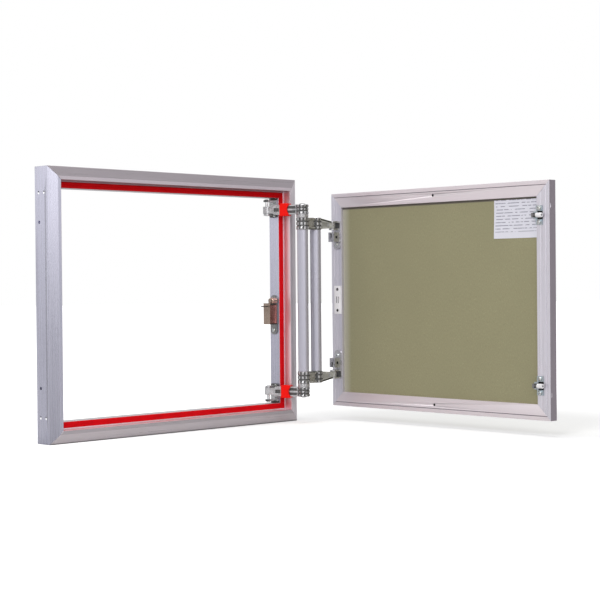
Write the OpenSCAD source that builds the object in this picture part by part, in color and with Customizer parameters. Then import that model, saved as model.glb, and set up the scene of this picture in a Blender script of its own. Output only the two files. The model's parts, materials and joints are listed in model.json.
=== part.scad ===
// Flush tile access panel: a mitred aluminium frame for a wall opening, a door that carries a
// tile-backing board, and a knuckled double-link hinge that swings the door out and aside.
// Origin: centre of the frame, on the plane of its front edge.
// +Z is up, -Y faces out of the wall, +X is the hinge side. The door is drawn open.

/* [Frame] */
// Overall width of the frame
frame_w = 500; // [400:10:700]
// Overall height of the frame
frame_h = 400; // [400:10:700]
// Depth of the frame behind its front edge
frame_depth = 30; // [29:0.5:38]
// How far the lip stands in front of that edge
lip_proud = 7; // [5:0.5:9]
// Width of the sloping front face
bevel_w = 14; // [10:0.5:18]
// Width of the flat top of the lip
lip_flat = 5.5; // [4:0.5:8]
// Depth of the rebate, from the top of the lip to the stop
rebate_depth = 15.5; // [14:0.5:17]
// Width of the stop that the door closes on
stop_w = 11.5; // [11.5:0.5:14]
// Wall of the hollow frame section
frame_wall = 1.8; // [1.4:0.1:2.2]
// Distance of the side fixing holes from the top and bottom
fixing_inset = 80.5; // [60:0.5:100]
// Distance of the side fixing holes behind the front edge
fixing_back = 20; // [15:0.5:22]
// Diameter of the side fixing holes
fixing_dia = 5; // [3.5:0.5:6]
// Distance of the corner crimps from the ends of each bar
crimp_inset = 38; // [30:1:44]

/* [Gasket] */
// Width of the red gasket
gasket_w = 8.8; // [7:0.1:8.8]
// Thickness of the gasket, pressed down
gasket_t = 2.2; // [1.6:0.1:2.6]
// Distance of the gasket from the rebate wall
gasket_inset = 2.2; // [1.6:0.1:2.4]

/* [Door] */
// Gap between the door and the lip at the two sides
side_gap = 5; // [4.5:0.25:6]
// Gap between the door and the lip at top and bottom
end_gap = 3; // [2:0.25:4]
// Thickness of the door
door_t = 15; // [14.8:0.1:16]
// Width of the door profile, seen from the back
door_bar_w = 23.5; // [23.5:0.5:27]
// Depth of the hollow back flange of the door profile
flange_t = 4.7; // [4:0.1:5]
// Wall of the door profile
door_wall = 1.3; // [1:0.1:1.5]
// Thickness of the thin edge that frames the board
edge_t = 2; // [1.5:0.1:2.5]
// Width of the sealing strip outside the hardware band
seal_w = 6.6; // [6.2:0.1:6.8]
// Thickness of the tile-backing board
board_t = 10; // [9:0.1:10]
// Width of the leaflet on the board
leaflet_w = 82; // [60:1:90]
// Height of the leaflet on the board
leaflet_h = 58; // [40:1:70]

/* [Hinge] */
// Middle of the swing arm below the top of the frame
hinge_inset = 50.8; // [50.8:0.2:60]
// How far the link arm lies below the swing arm
link_drop = 23.2; // [23.2:0.2:28]
// Distance of the frame pivot from the inner face of the jamb
pivot_a_out = 16.5; // [16:0.5:18]
// Distance of the frame pivot behind the front edge
pivot_a_back = 19; // [18.5:0.25:20]
// Length of the swing arm between its pivots
swing_len = 62; // [60:0.5:64]
// Length of the red cuff on the swing arm
cuff_len = 16; // [12:1:18]
// Distance of the door pivot from the hinge edge of the door
pivot_d_in = 15; // [14:0.5:16]
// Distance of the door pivot behind the back of the door
pivot_d_back = 14; // [13.5:0.5:15]
// Outer diameter of the two upright tubes
tube_dia = 18; // [16:0.5:18.5]
// Wall of the tubes
tube_wall = 1.2; // [1:0.1:1.6]
// Distance between the two tubes along the link arm
tube_pitch = 30; // [29.5:0.5:32]
// Diameter of the knuckles at the elbow
knuckle_dia = 20.4; // [19.8:0.2:20.6]
// Diameter of the elbow pins
elbow_pin_dia = 8; // [7:0.5:9]
// Diameter of the pins at the frame and the door
end_pin_dia = 5; // [4:0.5:5.5]

/* [Latch] */
// Length of the latch housing
latch_h = 33; // [30:1:36]
// Width of the latch housing, out from the jamb
latch_w = 16; // [15:0.5:17]
// Diameter of the latch roller
latch_roller_dia = 10.4; // [9.5:0.1:10.6]
// Length of the latch roller
latch_roller_len = 12; // [10.5:0.5:12]
// Diameter of the white catch rollers
catch_roller_dia = 7; // [6:0.25:8]
// Length of the white catch rollers
catch_roller_len = 11; // [10:0.2:12]
// Length of the white strike plate
strike_h = 47; // [40:1:54]

/* [Hidden] */
$fn = 48;

// Clearances
eps = 0.1;
seal_gap = 0.3;
run_gap = 0.05;
seat_gap = 0.03;
face_gap = 0.2;
cleat_gap = 0.3;

// Frame section, seen along a bar: x in from the outer face, y back from the front edge
lip_w = bevel_w + lip_flat;
jamb_w = lip_w + stop_w;
stop_y = rebate_depth - lip_proud;
jamb_x = frame_w / 2 - jamb_w;
jamb_mid_y = (stop_y + frame_depth) / 2;
slope = lip_proud / bevel_w;
slope_wall = frame_wall * sqrt(1 + slope * slope);

// Door
door_w = frame_w - 2 * (lip_w + side_gap);
door_h = frame_h - 2 * (lip_w + end_gap);
door_back_y = stop_y - gasket_t - seal_gap;
band_w = door_bar_w - seal_w;
band_mid = seal_w + band_w / 2;
board_gap = 0.2;
leaflet_t = 0.3;
leaflet_edge = 1;

// Hinge angles in plan: the door is open at rest and turns to the closed angles
swing_open = 64;
swing_closed = 188;
link_open = 0;
door_open = 91.2;
function polar(r, a) = [r * cos(a), r * sin(a)];
function turned(v, a) = [v[0] * cos(a) - v[1] * sin(a), v[0] * sin(a) + v[1] * cos(a)];
pivot_a = [jamb_x - pivot_a_out, pivot_a_back];
pivot_b = pivot_a + polar(swing_len, -swing_open);
pivot_b_closed = pivot_a + polar(swing_len, -swing_closed);
pivot_d_closed = [frame_w / 2 - lip_w - side_gap - pivot_d_in, door_back_y + pivot_d_back];
link_len = norm(pivot_d_closed - pivot_b_closed);
pivot_d = pivot_b + polar(link_len, -link_open);
door_corner = pivot_d - turned([pivot_d_in, -pivot_d_back], -door_open);

// Hinge heights
swing_z = frame_h / 2 - hinge_inset;
swing_t = 16;
eye_t = 11.5;
link_z = swing_z - link_drop;
link_t = 20;
link_eye_t = 9;
link_eye_mid = -2;
ear_t = 2.4;
ear_gap = face_gap + 0.2;
tube_half = link_z - link_t / 2;
knuckle_r = knuckle_dia / 2;
boss_r = knuckle_r - 0.3;
bar_w = 10;
cuff_at = 24.2;

// Screws
head_r = 3.4;
head_t = 2.3;
shank_r = 1.9;

// Latch
latch_top = -6;
strip_t = 2;
strip_top = 9;
strip_bottom = -56;
strip_w = 15;
latch_travel = 5;
latch_front_y = stop_y + 3.3;
latch_depth = 15.5;
latch_wall = 1.5;
latch_mid_x = jamb_x - strip_t - latch_w / 2;
strike_t = 1.8;
roller_r = latch_roller_dia / 2;
roller_y = door_back_y + strike_t + 0.9 + roller_r;
roller_z = 0;
catch_t = 1.8;
catch_back = 6;
catch_axle_r = 1.5;
catch_r = catch_roller_dia / 2;
catch_in = 9.3;
catch_rise = link_z;

module both_ends() {
  children();
  mirror([0, 0, 1]) children();
}

// A prism along Y whose outline is given in X and Z
module slab(points) {
  rotate([90, 0, 0]) linear_extrude(4 * frame_depth, center = true) polygon(points);
}

// The left upright of a mitred ring: its section is given as children
module upright(w, h, cut) {
  intersection() {
    translate([-w / 2, 0, 0]) linear_extrude(h, center = true) children();
    slab([[-w / 2, -h / 2], [-w / 2, h / 2], [cut - w / 2, h / 2 - cut], [cut - w / 2, cut - h / 2]]);
  }
}

// The top bar of a mitred ring: its section is given as children
module level(w, h, cut) {
  intersection() {
    translate([0, 0, h / 2]) rotate([0, 90, 0]) linear_extrude(w, center = true) children();
    slab([[-w / 2, h / 2], [w / 2, h / 2], [w / 2 - cut, h / 2 - cut], [cut - w / 2, h / 2 - cut]]);
  }
}

// Pressed crimps on the outer face of an upright of length len, at each depth in depths
module crimps(len, depths, size) {
  for (side = [-1, 1], y = depths)
    translate([0, y, side * (len / 2 - crimp_inset)]) cube([size[0] * 2, size[1], size[2]], center = true);
}

module frame_section() {
  difference() {
    polygon([
      [0, frame_depth], [0, 0], [bevel_w, -lip_proud], [lip_w, -lip_proud],
      [lip_w, stop_y], [jamb_w, stop_y], [jamb_w, frame_depth]
    ]);
    polygon([
      [frame_wall, frame_depth - frame_wall], [frame_wall, stop_y + frame_wall],
      [jamb_w - frame_wall, stop_y + frame_wall], [jamb_w - frame_wall, frame_depth - frame_wall]
    ]);
    polygon([
      [frame_wall, stop_y], [frame_wall, slope_wall - slope * frame_wall],
      [(slope_wall + lip_proud - frame_wall) / slope, frame_wall - lip_proud],
      [lip_w - frame_wall, frame_wall - lip_proud], [lip_w - frame_wall, stop_y]
    ]);
  }
}

module frame_crimps(len) {
  crimps(len, [stop_y - 0.5, frame_depth - 9], [0.9, 2.4, 7]);
}

module frame_rail_top() {
  color([0.78, 0.77, 0.78]) difference() {
    level(frame_w, frame_h, jamb_w + 1) frame_section();
    translate([0, 0, frame_h / 2]) rotate([0, 90, 0]) frame_crimps(frame_w);
  }
}

module frame_rail_bottom() {
  mirror([0, 0, 1]) frame_rail_top();
}

module frame_stile_free() {
  color([0.76, 0.76, 0.8]) difference() {
    upright(frame_w, frame_h, jamb_w + 1) frame_section();
    translate([-frame_w / 2, 0, 0]) {
      frame_crimps(frame_h);
      for (side = [-1, 1])
        translate([-1, fixing_back, side * (frame_h / 2 - fixing_inset)])
          rotate([0, 90, 0]) cylinder(d = fixing_dia, h = frame_wall + 2);
    }
  }
}

module frame_stile_hinge() {
  mirror([1, 0, 0]) frame_stile_free();
}

// Four angle cleats in the rear chamber of the frame bars
module corner_cleats(w, h, leg, width, y_from, y_to) {
  for (mx = [0, 1], mz = [0, 1])
    mirror([mx, 0, 0]) mirror([0, 0, mz]) translate([-w / 2, y_to, h / 2])
      rotate([90, 0, 0]) linear_extrude(y_to - y_from)
        difference() {
          polygon([[0, 0], [leg, 0], [leg, -width], [width, -width], [width, -leg], [0, -leg]]);
          translate([width * 0.5, -width * 0.5]) circle(r = width * 0.26);
        }
}

module frame_cleats() {
  inset = frame_wall + cleat_gap;
  color([0.66, 0.66, 0.68])
    corner_cleats(frame_w - 2 * inset, frame_h - 2 * inset, 46, jamb_w - 2 * inset,
      stop_y + inset, frame_depth - inset);
}

// The gasket section: a flat strip with a crowned face
module gasket_section() {
  translate([lip_w + gasket_inset, stop_y - gasket_t])
    polygon([
      [0, gasket_t], [0, 0.7], [0.9, 0.15], [gasket_w * 0.3, 0], [gasket_w * 0.7, 0],
      [gasket_w - 0.9, 0.15], [gasket_w, 0.7], [gasket_w, gasket_t]
    ]);
}

module gasket_top() {
  color([0.88, 0.04, 0.06]) level(frame_w, frame_h, jamb_w + 1) gasket_section();
}

module gasket_bottom() {
  mirror([0, 0, 1]) gasket_top();
}

module gasket_free() {
  color([0.88, 0.04, 0.06]) upright(frame_w, frame_h, jamb_w + 1) gasket_section();
}

module gasket_hinge() {
  mirror([1, 0, 0]) gasket_free();
}

// A round screw head with a cross recess, standing on z = 0, its shank below
module screw(shank) {
  difference() {
    union() {
      cylinder(r = head_r, h = head_t * 0.55);
      translate([0, 0, head_t * 0.55]) cylinder(r1 = head_r, r2 = head_r * 0.62, h = head_t * 0.45);
    }
    for (a = [0, 90]) rotate([0, 0, a]) translate([0, 0, head_t]) cube([3.2, 0.8, 2.2], center = true);
  }
  translate([0, 0, -shank]) cylinder(r = shank_r, h = shank);
}

// A screw whose cone fits a countersink, its face at z = 0
sink_depth = 1.6;

module sunk_cone(gap) {
  translate([0, 0, -sink_depth]) cylinder(r1 = shank_r + gap, r2 = head_r + gap, h = sink_depth);
}

module sunk_screw(shank) {
  difference() {
    union() {
      sunk_cone(0);
      translate([0, 0, -shank]) cylinder(r = shank_r, h = shank - sink_depth + eps);
    }
    for (a = [0, 90]) rotate([0, 0, a]) cube([3.2, 0.8, 1.6], center = true);
  }
}

// The frame bracket: a plate on the jamb with two lugs that hold the frame pivot
plate_a_t = 3;
plate_a_w = 16;
plate_a_r = 3;
plate_a_from = -11.8;
plate_a_to = 19.4;
screw_a_low = -7.4;
screw_a_high = 1;
screw_a_y = pivot_a[1] - 3.5;
lug_t = 3;
lug_r = 5.2;
lug_low = -eye_t / 2 - face_gap - lug_t;
lug_high = 13.4;
neck_w = 7;
neck_low_w = 4.6;

module jamb_bracket() {
  color([0.7, 0.71, 0.72]) difference() {
    union() {
      translate([jamb_x - plate_a_t, pivot_a[1] - plate_a_w / 2, swing_z + plate_a_from + plate_a_r])
        cube([plate_a_t, plate_a_w, plate_a_to - plate_a_from - plate_a_r]);
      translate([jamb_x - plate_a_t, pivot_a[1] - plate_a_w / 2 + plate_a_r, swing_z + plate_a_from])
        cube([plate_a_t, plate_a_w - 2 * plate_a_r, 2 * plate_a_r]);
      for (side = [-1, 1])
        translate([jamb_x - plate_a_t, pivot_a[1] + side * (plate_a_w / 2 - plate_a_r), swing_z + plate_a_from + plate_a_r])
          rotate([0, 90, 0]) cylinder(r = plate_a_r, h = plate_a_t);
      for (z = [lug_low, lug_high]) translate([pivot_a[0], pivot_a[1], swing_z + z]) cylinder(r = lug_r, h = lug_t);
      translate([pivot_a[0], pivot_a[1] - neck_w / 2, swing_z + lug_high])
        cube([pivot_a_out - plate_a_t + eps, neck_w, lug_t]);
      translate([pivot_a[0], pivot_a[1] + 0.3, swing_z + lug_low])
        cube([pivot_a_out - plate_a_t + eps, neck_low_w, lug_t]);
      translate([jamb_x - plate_a_t - 2.5, pivot_a[1] - neck_w / 2, swing_z + lug_high - 3])
        cube([2.5 + eps, neck_w, lug_t + 3]);
    }
    translate([pivot_a[0], pivot_a[1], swing_z - 20]) cylinder(d = end_pin_dia + 2 * seat_gap, h = 40);
    for (z = [screw_a_low, screw_a_high])
      translate([jamb_x - plate_a_t, screw_a_y, swing_z + z]) rotate([0, -90, 0]) {
        sunk_cone(seat_gap);
        translate([0, 0, -plate_a_t - 1]) cylinder(r = shank_r + seat_gap, h = plate_a_t + 2);
      }
  }
}

module jamb_bracket_upper() jamb_bracket();

module jamb_bracket_lower() mirror([0, 0, 1]) jamb_bracket();

module jamb_bracket_screws() {
  color([0.55, 0.56, 0.58]) both_ends()
    for (z = [screw_a_low, screw_a_high])
      translate([jamb_x - plate_a_t, screw_a_y, swing_z + z]) rotate([0, -90, 0]) sunk_screw(plate_a_t);
}

// A plain pin with a domed head above the height that it reaches down to
module headed_pin(dia, from, to) {
  translate([0, 0, from]) cylinder(d = dia, h = to - from);
  translate([0, 0, to]) cylinder(d = dia + 2.5, h = 0.7);
  translate([0, 0, to + 0.7]) cylinder(d1 = dia + 2.5, d2 = dia, h = 0.6);
}

module jamb_pins() {
  color([0.5, 0.51, 0.53]) both_ends()
    translate([pivot_a[0], pivot_a[1], 0]) headed_pin(end_pin_dia, swing_z + lug_low - 0.8, swing_z + lug_high + lug_t + eps);
}

module on_swing() {
  translate([pivot_a[0], pivot_a[1], 0]) rotate([0, 0, -swing_open]) children();
}

module on_link() {
  translate([pivot_b[0], pivot_b[1], 0]) rotate([0, 0, -link_open]) children();
}

module on_door() {
  translate([door_corner[0], door_corner[1], 0]) rotate([0, 0, -door_open]) children();
}

// A knuckle with turned grooves round it
module knuckle(r, h, grooves) {
  pitch = h / grooves;
  rotate_extrude() polygon(concat(
    [[0, 0]],
    [for (i = [0:grooves - 1], p = [
        [r - 0.7, i * pitch], [r, i * pitch + 0.7], [r, (i + 1) * pitch - 0.7], [r - 0.7, (i + 1) * pitch]
      ]) p],
    [[0, h]]
  ));
}

// The swing arm: an eye on the frame pivot, a channelled bar that deepens, and the upper elbow knuckle
eye_r = 6.2;
bar_from = 11;
channel_cut = 4;

module swing_arm() {
  color([0.72, 0.73, 0.74]) on_swing() translate([0, 0, swing_z]) difference() {
    union() {
      translate([0, 0, -eye_t / 2]) cylinder(r = eye_r, h = eye_t);
      rotate([90, 0, 0]) linear_extrude(bar_w - 1, center = true) polygon([
        [0, -eye_t / 2], [0, eye_t / 2], [bar_from, eye_t / 2], [bar_from + 6, swing_t / 2],
        [swing_len - eye_r, swing_t / 2], [swing_len - eye_r, -swing_t / 2],
        [bar_from + 6, -swing_t / 2], [bar_from, -eye_t / 2]
      ]);
      translate([swing_len, 0, -swing_t / 2]) knuckle(knuckle_r, swing_t, 2);
    }
    for (side = [-1, 1]) {
      translate([cuff_at - 6, side * bar_w / 2, 0]) cube([9, channel_cut, 6], center = true);
      for (z = [-3.6, 3.6])
        translate([(cuff_at + cuff_len + swing_len - knuckle_r) / 2 - 3, side * bar_w / 2, z])
          cube([swing_len - knuckle_r - cuff_at - cuff_len + 5, channel_cut, 4.2], center = true);
    }
    translate([0, 0, -swing_t]) cylinder(d = end_pin_dia + 2 * run_gap, h = 2 * swing_t);
    translate([swing_len, 0, -swing_t]) cylinder(d = elbow_pin_dia + 2 * seat_gap, h = 2 * swing_t);
  }
}

module swing_arm_upper() swing_arm();

module swing_arm_lower() mirror([0, 0, 1]) swing_arm();

// The red cuff: a moulded sleeve on the bar, hollowed at its elbow end
cuff_w = 17;
cuff_h = 20.5;

module arm_cuff() {
  color([0.95, 0.05, 0.03]) on_swing() translate([cuff_at, 0, swing_z]) difference() {
    translate([0, 0, -cuff_h / 2]) linear_extrude(cuff_h) polygon([
      [0, -cuff_w / 2 + 2], [2, -cuff_w / 2], [cuff_len - 1, -cuff_w / 2], [cuff_len, -cuff_w / 2 + 1],
      [cuff_len, cuff_w / 2 - 1], [cuff_len - 1, cuff_w / 2], [2, cuff_w / 2], [0, cuff_w / 2 - 2]
    ]);
    cube([3 * cuff_len, bar_w - 1 + 2 * face_gap, swing_t + 2 * face_gap], center = true);
    translate([cuff_len + cuff_h * 0.36, 0, 0]) rotate([90, 0, 0]) cylinder(r = cuff_h * 0.48, h = 2 * cuff_w, center = true);
  }
}

module arm_cuff_upper() arm_cuff();

module arm_cuff_lower() mirror([0, 0, 1]) arm_cuff();

plug_len = 20;
tube_r = tube_dia / 2;
bore_r = tube_r - tube_wall;

module upright_tube() {
  difference() {
    cylinder(r = tube_r, h = 2 * tube_half - 2 * face_gap, center = true);
    cylinder(r = bore_r, h = 2 * tube_half + 2, center = true);
  }
}

module at_elbow() {
  translate([pivot_b[0], pivot_b[1], 0]) children();
}

module elbow_tube() {
  color([0.76, 0.76, 0.8]) at_elbow() upright_tube();
}

module elbow_plugs() {
  color([0.6, 0.6, 0.62]) at_elbow() both_ends() difference() {
    translate([0, 0, tube_half - face_gap - plug_len]) cylinder(r = bore_r - seat_gap, h = plug_len);
    translate([0, 0, tube_half - face_gap - plug_len - 1])
      cylinder(d = elbow_pin_dia + 2 * seat_gap, h = plug_len + 2);
  }
}

module elbow_pins() {
  color([0.55, 0.56, 0.58]) at_elbow() both_ends()
    headed_pin(elbow_pin_dia, tube_half - face_gap - plug_len, swing_z + swing_t / 2 + eps);
}

// Spacer rings between the two arms at the elbow
washer_from = link_z + link_t / 2 + face_gap;
washer_to = swing_z - swing_t / 2 - face_gap;

module elbow_washers() {
  color([0.62, 0.63, 0.65]) at_elbow() both_ends() difference() {
    translate([0, 0, washer_from]) knuckle(knuckle_r, washer_to - washer_from, 2);
    translate([0, 0, washer_from - 1]) cylinder(d = elbow_pin_dia + 2 * seat_gap, h = washer_to - washer_from + 2);
  }
}

// The link arm: elbow knuckle, block over the second tube, and a lever that tapers to the door pivot
link_eye_r = 5.4;

module link_arm() {
  lever_x = tube_pitch + boss_r - 2;
  eye_top = link_eye_mid + link_eye_t / 2;
  color([0.66, 0.66, 0.64]) on_link() translate([0, 0, link_z]) difference() {
    union() {
      translate([0, 0, -link_t / 2]) knuckle(knuckle_r, link_t, 3);
      translate([tube_pitch / 2, 0, 0]) cube([tube_pitch, 15, link_t - 1], center = true);
      translate([tube_pitch, 0, -link_t / 2]) knuckle(boss_r, link_t, 3);
      translate([tube_pitch, 0, -link_t / 2 - plug_len + 4]) cylinder(r = bore_r - seat_gap, h = plug_len);
      rotate([90, 0, 0]) linear_extrude(9, center = true) polygon([
        [lever_x - 4, -9], [lever_x - 4, 9.6], [lever_x, 9.4], [link_len - 9, 5.4], [link_len - 6, 4.6],
        [link_len - 6, eye_top], [link_len, eye_top], [link_len, eye_top - link_eye_t],
        [link_len - 6, eye_top - link_eye_t], [lever_x, -8.4]
      ]);
      translate([link_len, 0, eye_top - link_eye_t]) cylinder(r = link_eye_r, h = link_eye_t);
    }
    for (side = [-1, 1]) {
      translate([tube_pitch / 2, side * 7.5, 0])
        cube([tube_pitch - 2 * boss_r + 6, channel_cut, link_t - 8], center = true);
      translate([lever_x + 12, side * 4.5, -0.6]) cube([17, channel_cut, 6.2], center = true);
    }
    translate([0, 0, -link_t]) cylinder(d = elbow_pin_dia + 2 * run_gap, h = 2 * link_t);
    translate([link_len, 0, -link_t]) cylinder(d = end_pin_dia + 2 * run_gap, h = 2 * link_t);
  }
}

module link_arm_upper() link_arm();

module link_arm_lower() mirror([0, 0, 1]) link_arm();

module link_tube() {
  color([0.76, 0.76, 0.8]) on_link() translate([tube_pitch, 0, 0]) upright_tube();
}

// Door section, seen along a bar: x in from the edge of the door, y forward from its back
module door_section() {
  difference() {
    polygon([[0, 0], [door_bar_w, 0], [door_bar_w, flange_t], [edge_t, flange_t], [edge_t, door_t], [0, door_t]]);
    translate([door_wall, door_wall]) square([door_bar_w - 2 * door_wall, flange_t - 2 * door_wall]);
    polygon([[seal_w - 0.6, -eps], [seal_w, 0.5], [seal_w + 0.6, -eps]]);
  }
}

module door_ring() {
  on_door() translate([door_w / 2, 0, 0]) children();
}

module door_crimps(len) {
  crimps(len, [flange_t / 2], [0.8, 1.8, 6.6]);
}

module door_rail() {
  color([0.78, 0.76, 0.77]) difference() {
    level(door_w, door_h, door_bar_w + 1) door_section();
    translate([0, 0, door_h / 2]) rotate([0, 90, 0]) door_crimps(door_w);
    translate([0, -1, door_h / 2 - band_mid + 2]) rotate([-90, 0, 0]) cylinder(r = 1.9, h = door_wall + 1 + eps);
  }
}

module door_stile() {
  color([0.76, 0.75, 0.79]) difference() {
    upright(door_w, door_h, door_bar_w + 1) door_section();
    translate([-door_w / 2, 0, 0]) door_crimps(door_h);
  }
}

module door_rail_top() door_ring() door_rail();

module door_rail_bottom() door_ring() mirror([0, 0, 1]) door_rail();

module door_stile_hinge() door_ring() door_stile();

module door_stile_free() door_ring() mirror([1, 0, 0]) door_stile();

module door_cleats() {
  inset = door_wall + 0.15;
  color([0.66, 0.66, 0.68]) door_ring()
    corner_cleats(door_w - 2 * inset, door_h - 2 * inset, 46, door_bar_w - 2 * inset, inset, flange_t - inset);
}

module tile_board() {
  w = door_w - 2 * (edge_t + board_gap);
  h = door_h - 2 * (edge_t + board_gap);
  color([0.58, 0.56, 0.44]) door_ring()
    translate([-w / 2, flange_t, -h / 2]) cube([w, board_t, h]);
}

module leaflet() {
  color([0.93, 0.93, 0.95]) on_door()
    translate([door_w - door_bar_w - leaflet_edge - leaflet_w, flange_t - leaflet_t, door_h / 2 - door_bar_w - leaflet_edge - leaflet_h])
      cube([leaflet_w, leaflet_t, leaflet_h]);
}

// The door bracket: base plate, two ears round the link eye and a block for the adjusting screw
foot_t = 2.5;
foot_from = -42;
ear_r = 5.2;
block_w = 13;
block_back = 15.5;
block_from = -29;
block_to = -13.2;
band_x = seal_w + 0.4;
foot_w = 15;

module at_door_pivot() {
  on_door() translate([pivot_d_in, -pivot_d_back, link_z + link_eye_mid]) children();
}

module door_bracket() {
  ear_z = link_eye_t / 2 + ear_gap;
  color([0.66, 0.67, 0.68]) difference() {
    union() {
      on_door() {
        translate([band_x, -foot_t, link_z + foot_from + 5])
          cube([foot_w, foot_t, link_eye_mid + ear_z + ear_t - foot_from - 5]);
        translate([band_x + foot_w / 2, 0, link_z + foot_from + foot_w / 2])
          rotate([90, 0, 0]) cylinder(d = foot_w, h = foot_t);
        translate([band_x + 1, -block_back, link_z + block_from])
          cube([block_w, block_back - foot_t + eps, block_to - block_from]);
      }
      at_door_pivot() for (z = [ear_z, -ear_z - ear_t]) translate([0, 0, z]) {
        cylinder(r = ear_r, h = ear_t);
        translate([-ear_r, 0, 0]) cube([2 * ear_r, pivot_d_back - foot_t + eps, ear_t]);
      }
    }
    at_door_pivot() translate([0, 0, -link_t]) cylinder(d = end_pin_dia + 2 * seat_gap, h = 2 * link_t);
    on_door() {
      translate([band_x - 1, -block_back + 6, link_z + (block_from + block_to) / 2])
        rotate([0, 90, 0]) cylinder(r = 2.5 + seat_gap, h = block_w + 4);
      translate([band_x + foot_w / 2, 1, link_z + foot_from + 9])
        rotate([90, 0, 0]) cylinder(r = shank_r + seat_gap, h = foot_t + 2);
    }
  }
}

module door_bracket_upper() door_bracket();

module door_bracket_lower() mirror([0, 0, 1]) door_bracket();

module door_bracket_screws() {
  color([0.55, 0.56, 0.58]) both_ends() on_door()
    translate([band_x + foot_w / 2, -foot_t, link_z + foot_from + 9]) rotate([90, 0, 0]) screw(foot_t);
}

module door_pins() {
  reach = link_eye_t / 2 + ear_gap + ear_t;
  color([0.5, 0.51, 0.53]) both_ends() at_door_pivot()
    translate([0, 0, -reach - 0.3]) cylinder(d = end_pin_dia, h = 2 * reach + 0.6);
}

// The screw that draws the door in and out, with a hexagon socket
module adjusting_screws() {
  color([0.2, 0.2, 0.21]) both_ends() on_door()
    translate([band_x + 2, -block_back + 6, link_z + (block_from + block_to) / 2]) rotate([0, 90, 0])
      difference() {
        cylinder(r = 2.5, h = block_w - 1.6);
        translate([0, 0, block_w - 4]) cylinder(r = 1.5, h = 4, $fn = 6);
      }
}

strike_slot_h = 11;

module strike_plate() {
  color([0.92, 0.9, 0.93]) on_door() difference() {
    translate([band_x, -strike_t, -strike_h / 2]) cube([foot_w, strike_t, strike_h]);
    for (side = [-1, 1], x = [-1.9, 1.9])
      translate([band_x + foot_w / 2 + x, 0, 0]) cube([1.4, 4 * strike_t, strike_slot_h], center = true);
    for (side = [-1, 1])
      translate([band_x + foot_w / 2, 1, side * (strike_h / 2 - 6)])
        rotate([90, 0, 0]) cylinder(r = 1.6 + seat_gap, h = strike_t + 2);
  }
}

module strike_screws() {
  color([0.45, 0.45, 0.47]) on_door() for (side = [-1, 1])
    translate([band_x + foot_w / 2, 0, side * (strike_h / 2 - 6)]) rotate([90, 0, 0]) {
      cylinder(r = 1.6, h = strike_t);
      translate([0, 0, strike_t]) cylinder(r1 = 2.6, r2 = 1.8, h = 0.8);
    }
}

// The door catch: a plate with two screw tabs, and a cheek whose axle carries the white roller
catch_plate_w = 11;
catch_plate_h = 28.4;
catch_plate_in = 12.4;
catch_window = 12.4;
catch_rib = 2.4;
catch_screw_z = 10.4;
catch_liner_t = 0.9;
cheek_t = 3.2;
cheek_gap = 3;
shoulder_r = 2.3;

module at_catch(side) {
  on_door() translate([door_w, 0, side * catch_rise]) children();
}

module catch_bracket() {
  inner = catch_in + catch_roller_len + cheek_gap;
  outer = catch_plate_in + catch_plate_w;
  color([0.72, 0.76, 0.79]) difference() {
    union() {
      translate([-outer, -catch_t, -catch_plate_h / 2]) cube([catch_plate_w, catch_t, catch_plate_h]);
      translate([-inner - cheek_t - 2, -catch_t, -5.5]) cube([inner + cheek_t + 3 - outer, catch_t, 11]);
      translate([-inner - cheek_t, -catch_back - 3.3, -catch_r + 0.2])
        cube([cheek_t, catch_back + 3.3, 2 * catch_r - 0.4]);
      translate([-inner - cheek_t, -catch_back, 0]) rotate([0, 90, 0]) {
        cylinder(r = catch_axle_r, h = catch_roller_len + cheek_t + cheek_gap);
        cylinder(r = shoulder_r, h = cheek_t + cheek_gap - face_gap);
      }
    }
    translate([-outer + catch_rib, -catch_t - 1, -catch_window / 2])
      cube([catch_plate_w, catch_t + 2, catch_window]);
    for (z = [-catch_screw_z, catch_screw_z])
      translate([-catch_plate_in - catch_plate_w / 2, 1, z]) rotate([90, 0, 0])
        cylinder(r = shank_r + seat_gap, h = catch_t + 2);
  }
}

module catch_bracket_upper() at_catch(1) catch_bracket();

module catch_bracket_lower() at_catch(-1) catch_bracket();

// A dark buffer pad in the window of each catch, under the roller
module catch_liners() {
  color([0.08, 0.08, 0.08]) for (side = [-1, 1]) at_catch(side)
    translate([-catch_plate_in - catch_plate_w + catch_rib + seat_gap, -catch_liner_t, seat_gap - catch_window / 2])
      cube([catch_plate_w - catch_rib - seat_gap, catch_liner_t, catch_window - 2 * seat_gap]);
}

module catch_screws() {
  color([0.6, 0.62, 0.65]) for (side = [-1, 1], z = [-catch_screw_z, catch_screw_z]) at_catch(side)
    translate([-catch_plate_in - catch_plate_w / 2, -catch_t, z]) rotate([90, 0, 0]) screw(catch_t);
}

module catch_roller() {
  color([0.93, 0.93, 0.92]) translate([-catch_in - catch_roller_len, -catch_back, 0]) rotate([0, 90, 0])
    difference() {
      rotate_extrude() polygon([
        [0, 0], [catch_r - 0.4, 0], [catch_r, 0.4],
        [catch_r, catch_roller_len - 0.4], [catch_r - 0.4, catch_roller_len], [0, catch_roller_len]
      ]);
      translate([0, 0, -1]) cylinder(r = catch_axle_r + run_gap, h = catch_roller_len + 2);
    }
}

module catch_roller_upper() at_catch(1) catch_roller();

module catch_roller_lower() at_catch(-1) catch_roller();

// The keeper on the free jamb: a rounded plate that the catch rollers bear on
keeper_t = 1.2;
keeper_w = 15;
keeper_h = 30;
keeper_y = jamb_mid_y + 1;
keeper_screw = keeper_h / 2 - 5.5;

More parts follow.
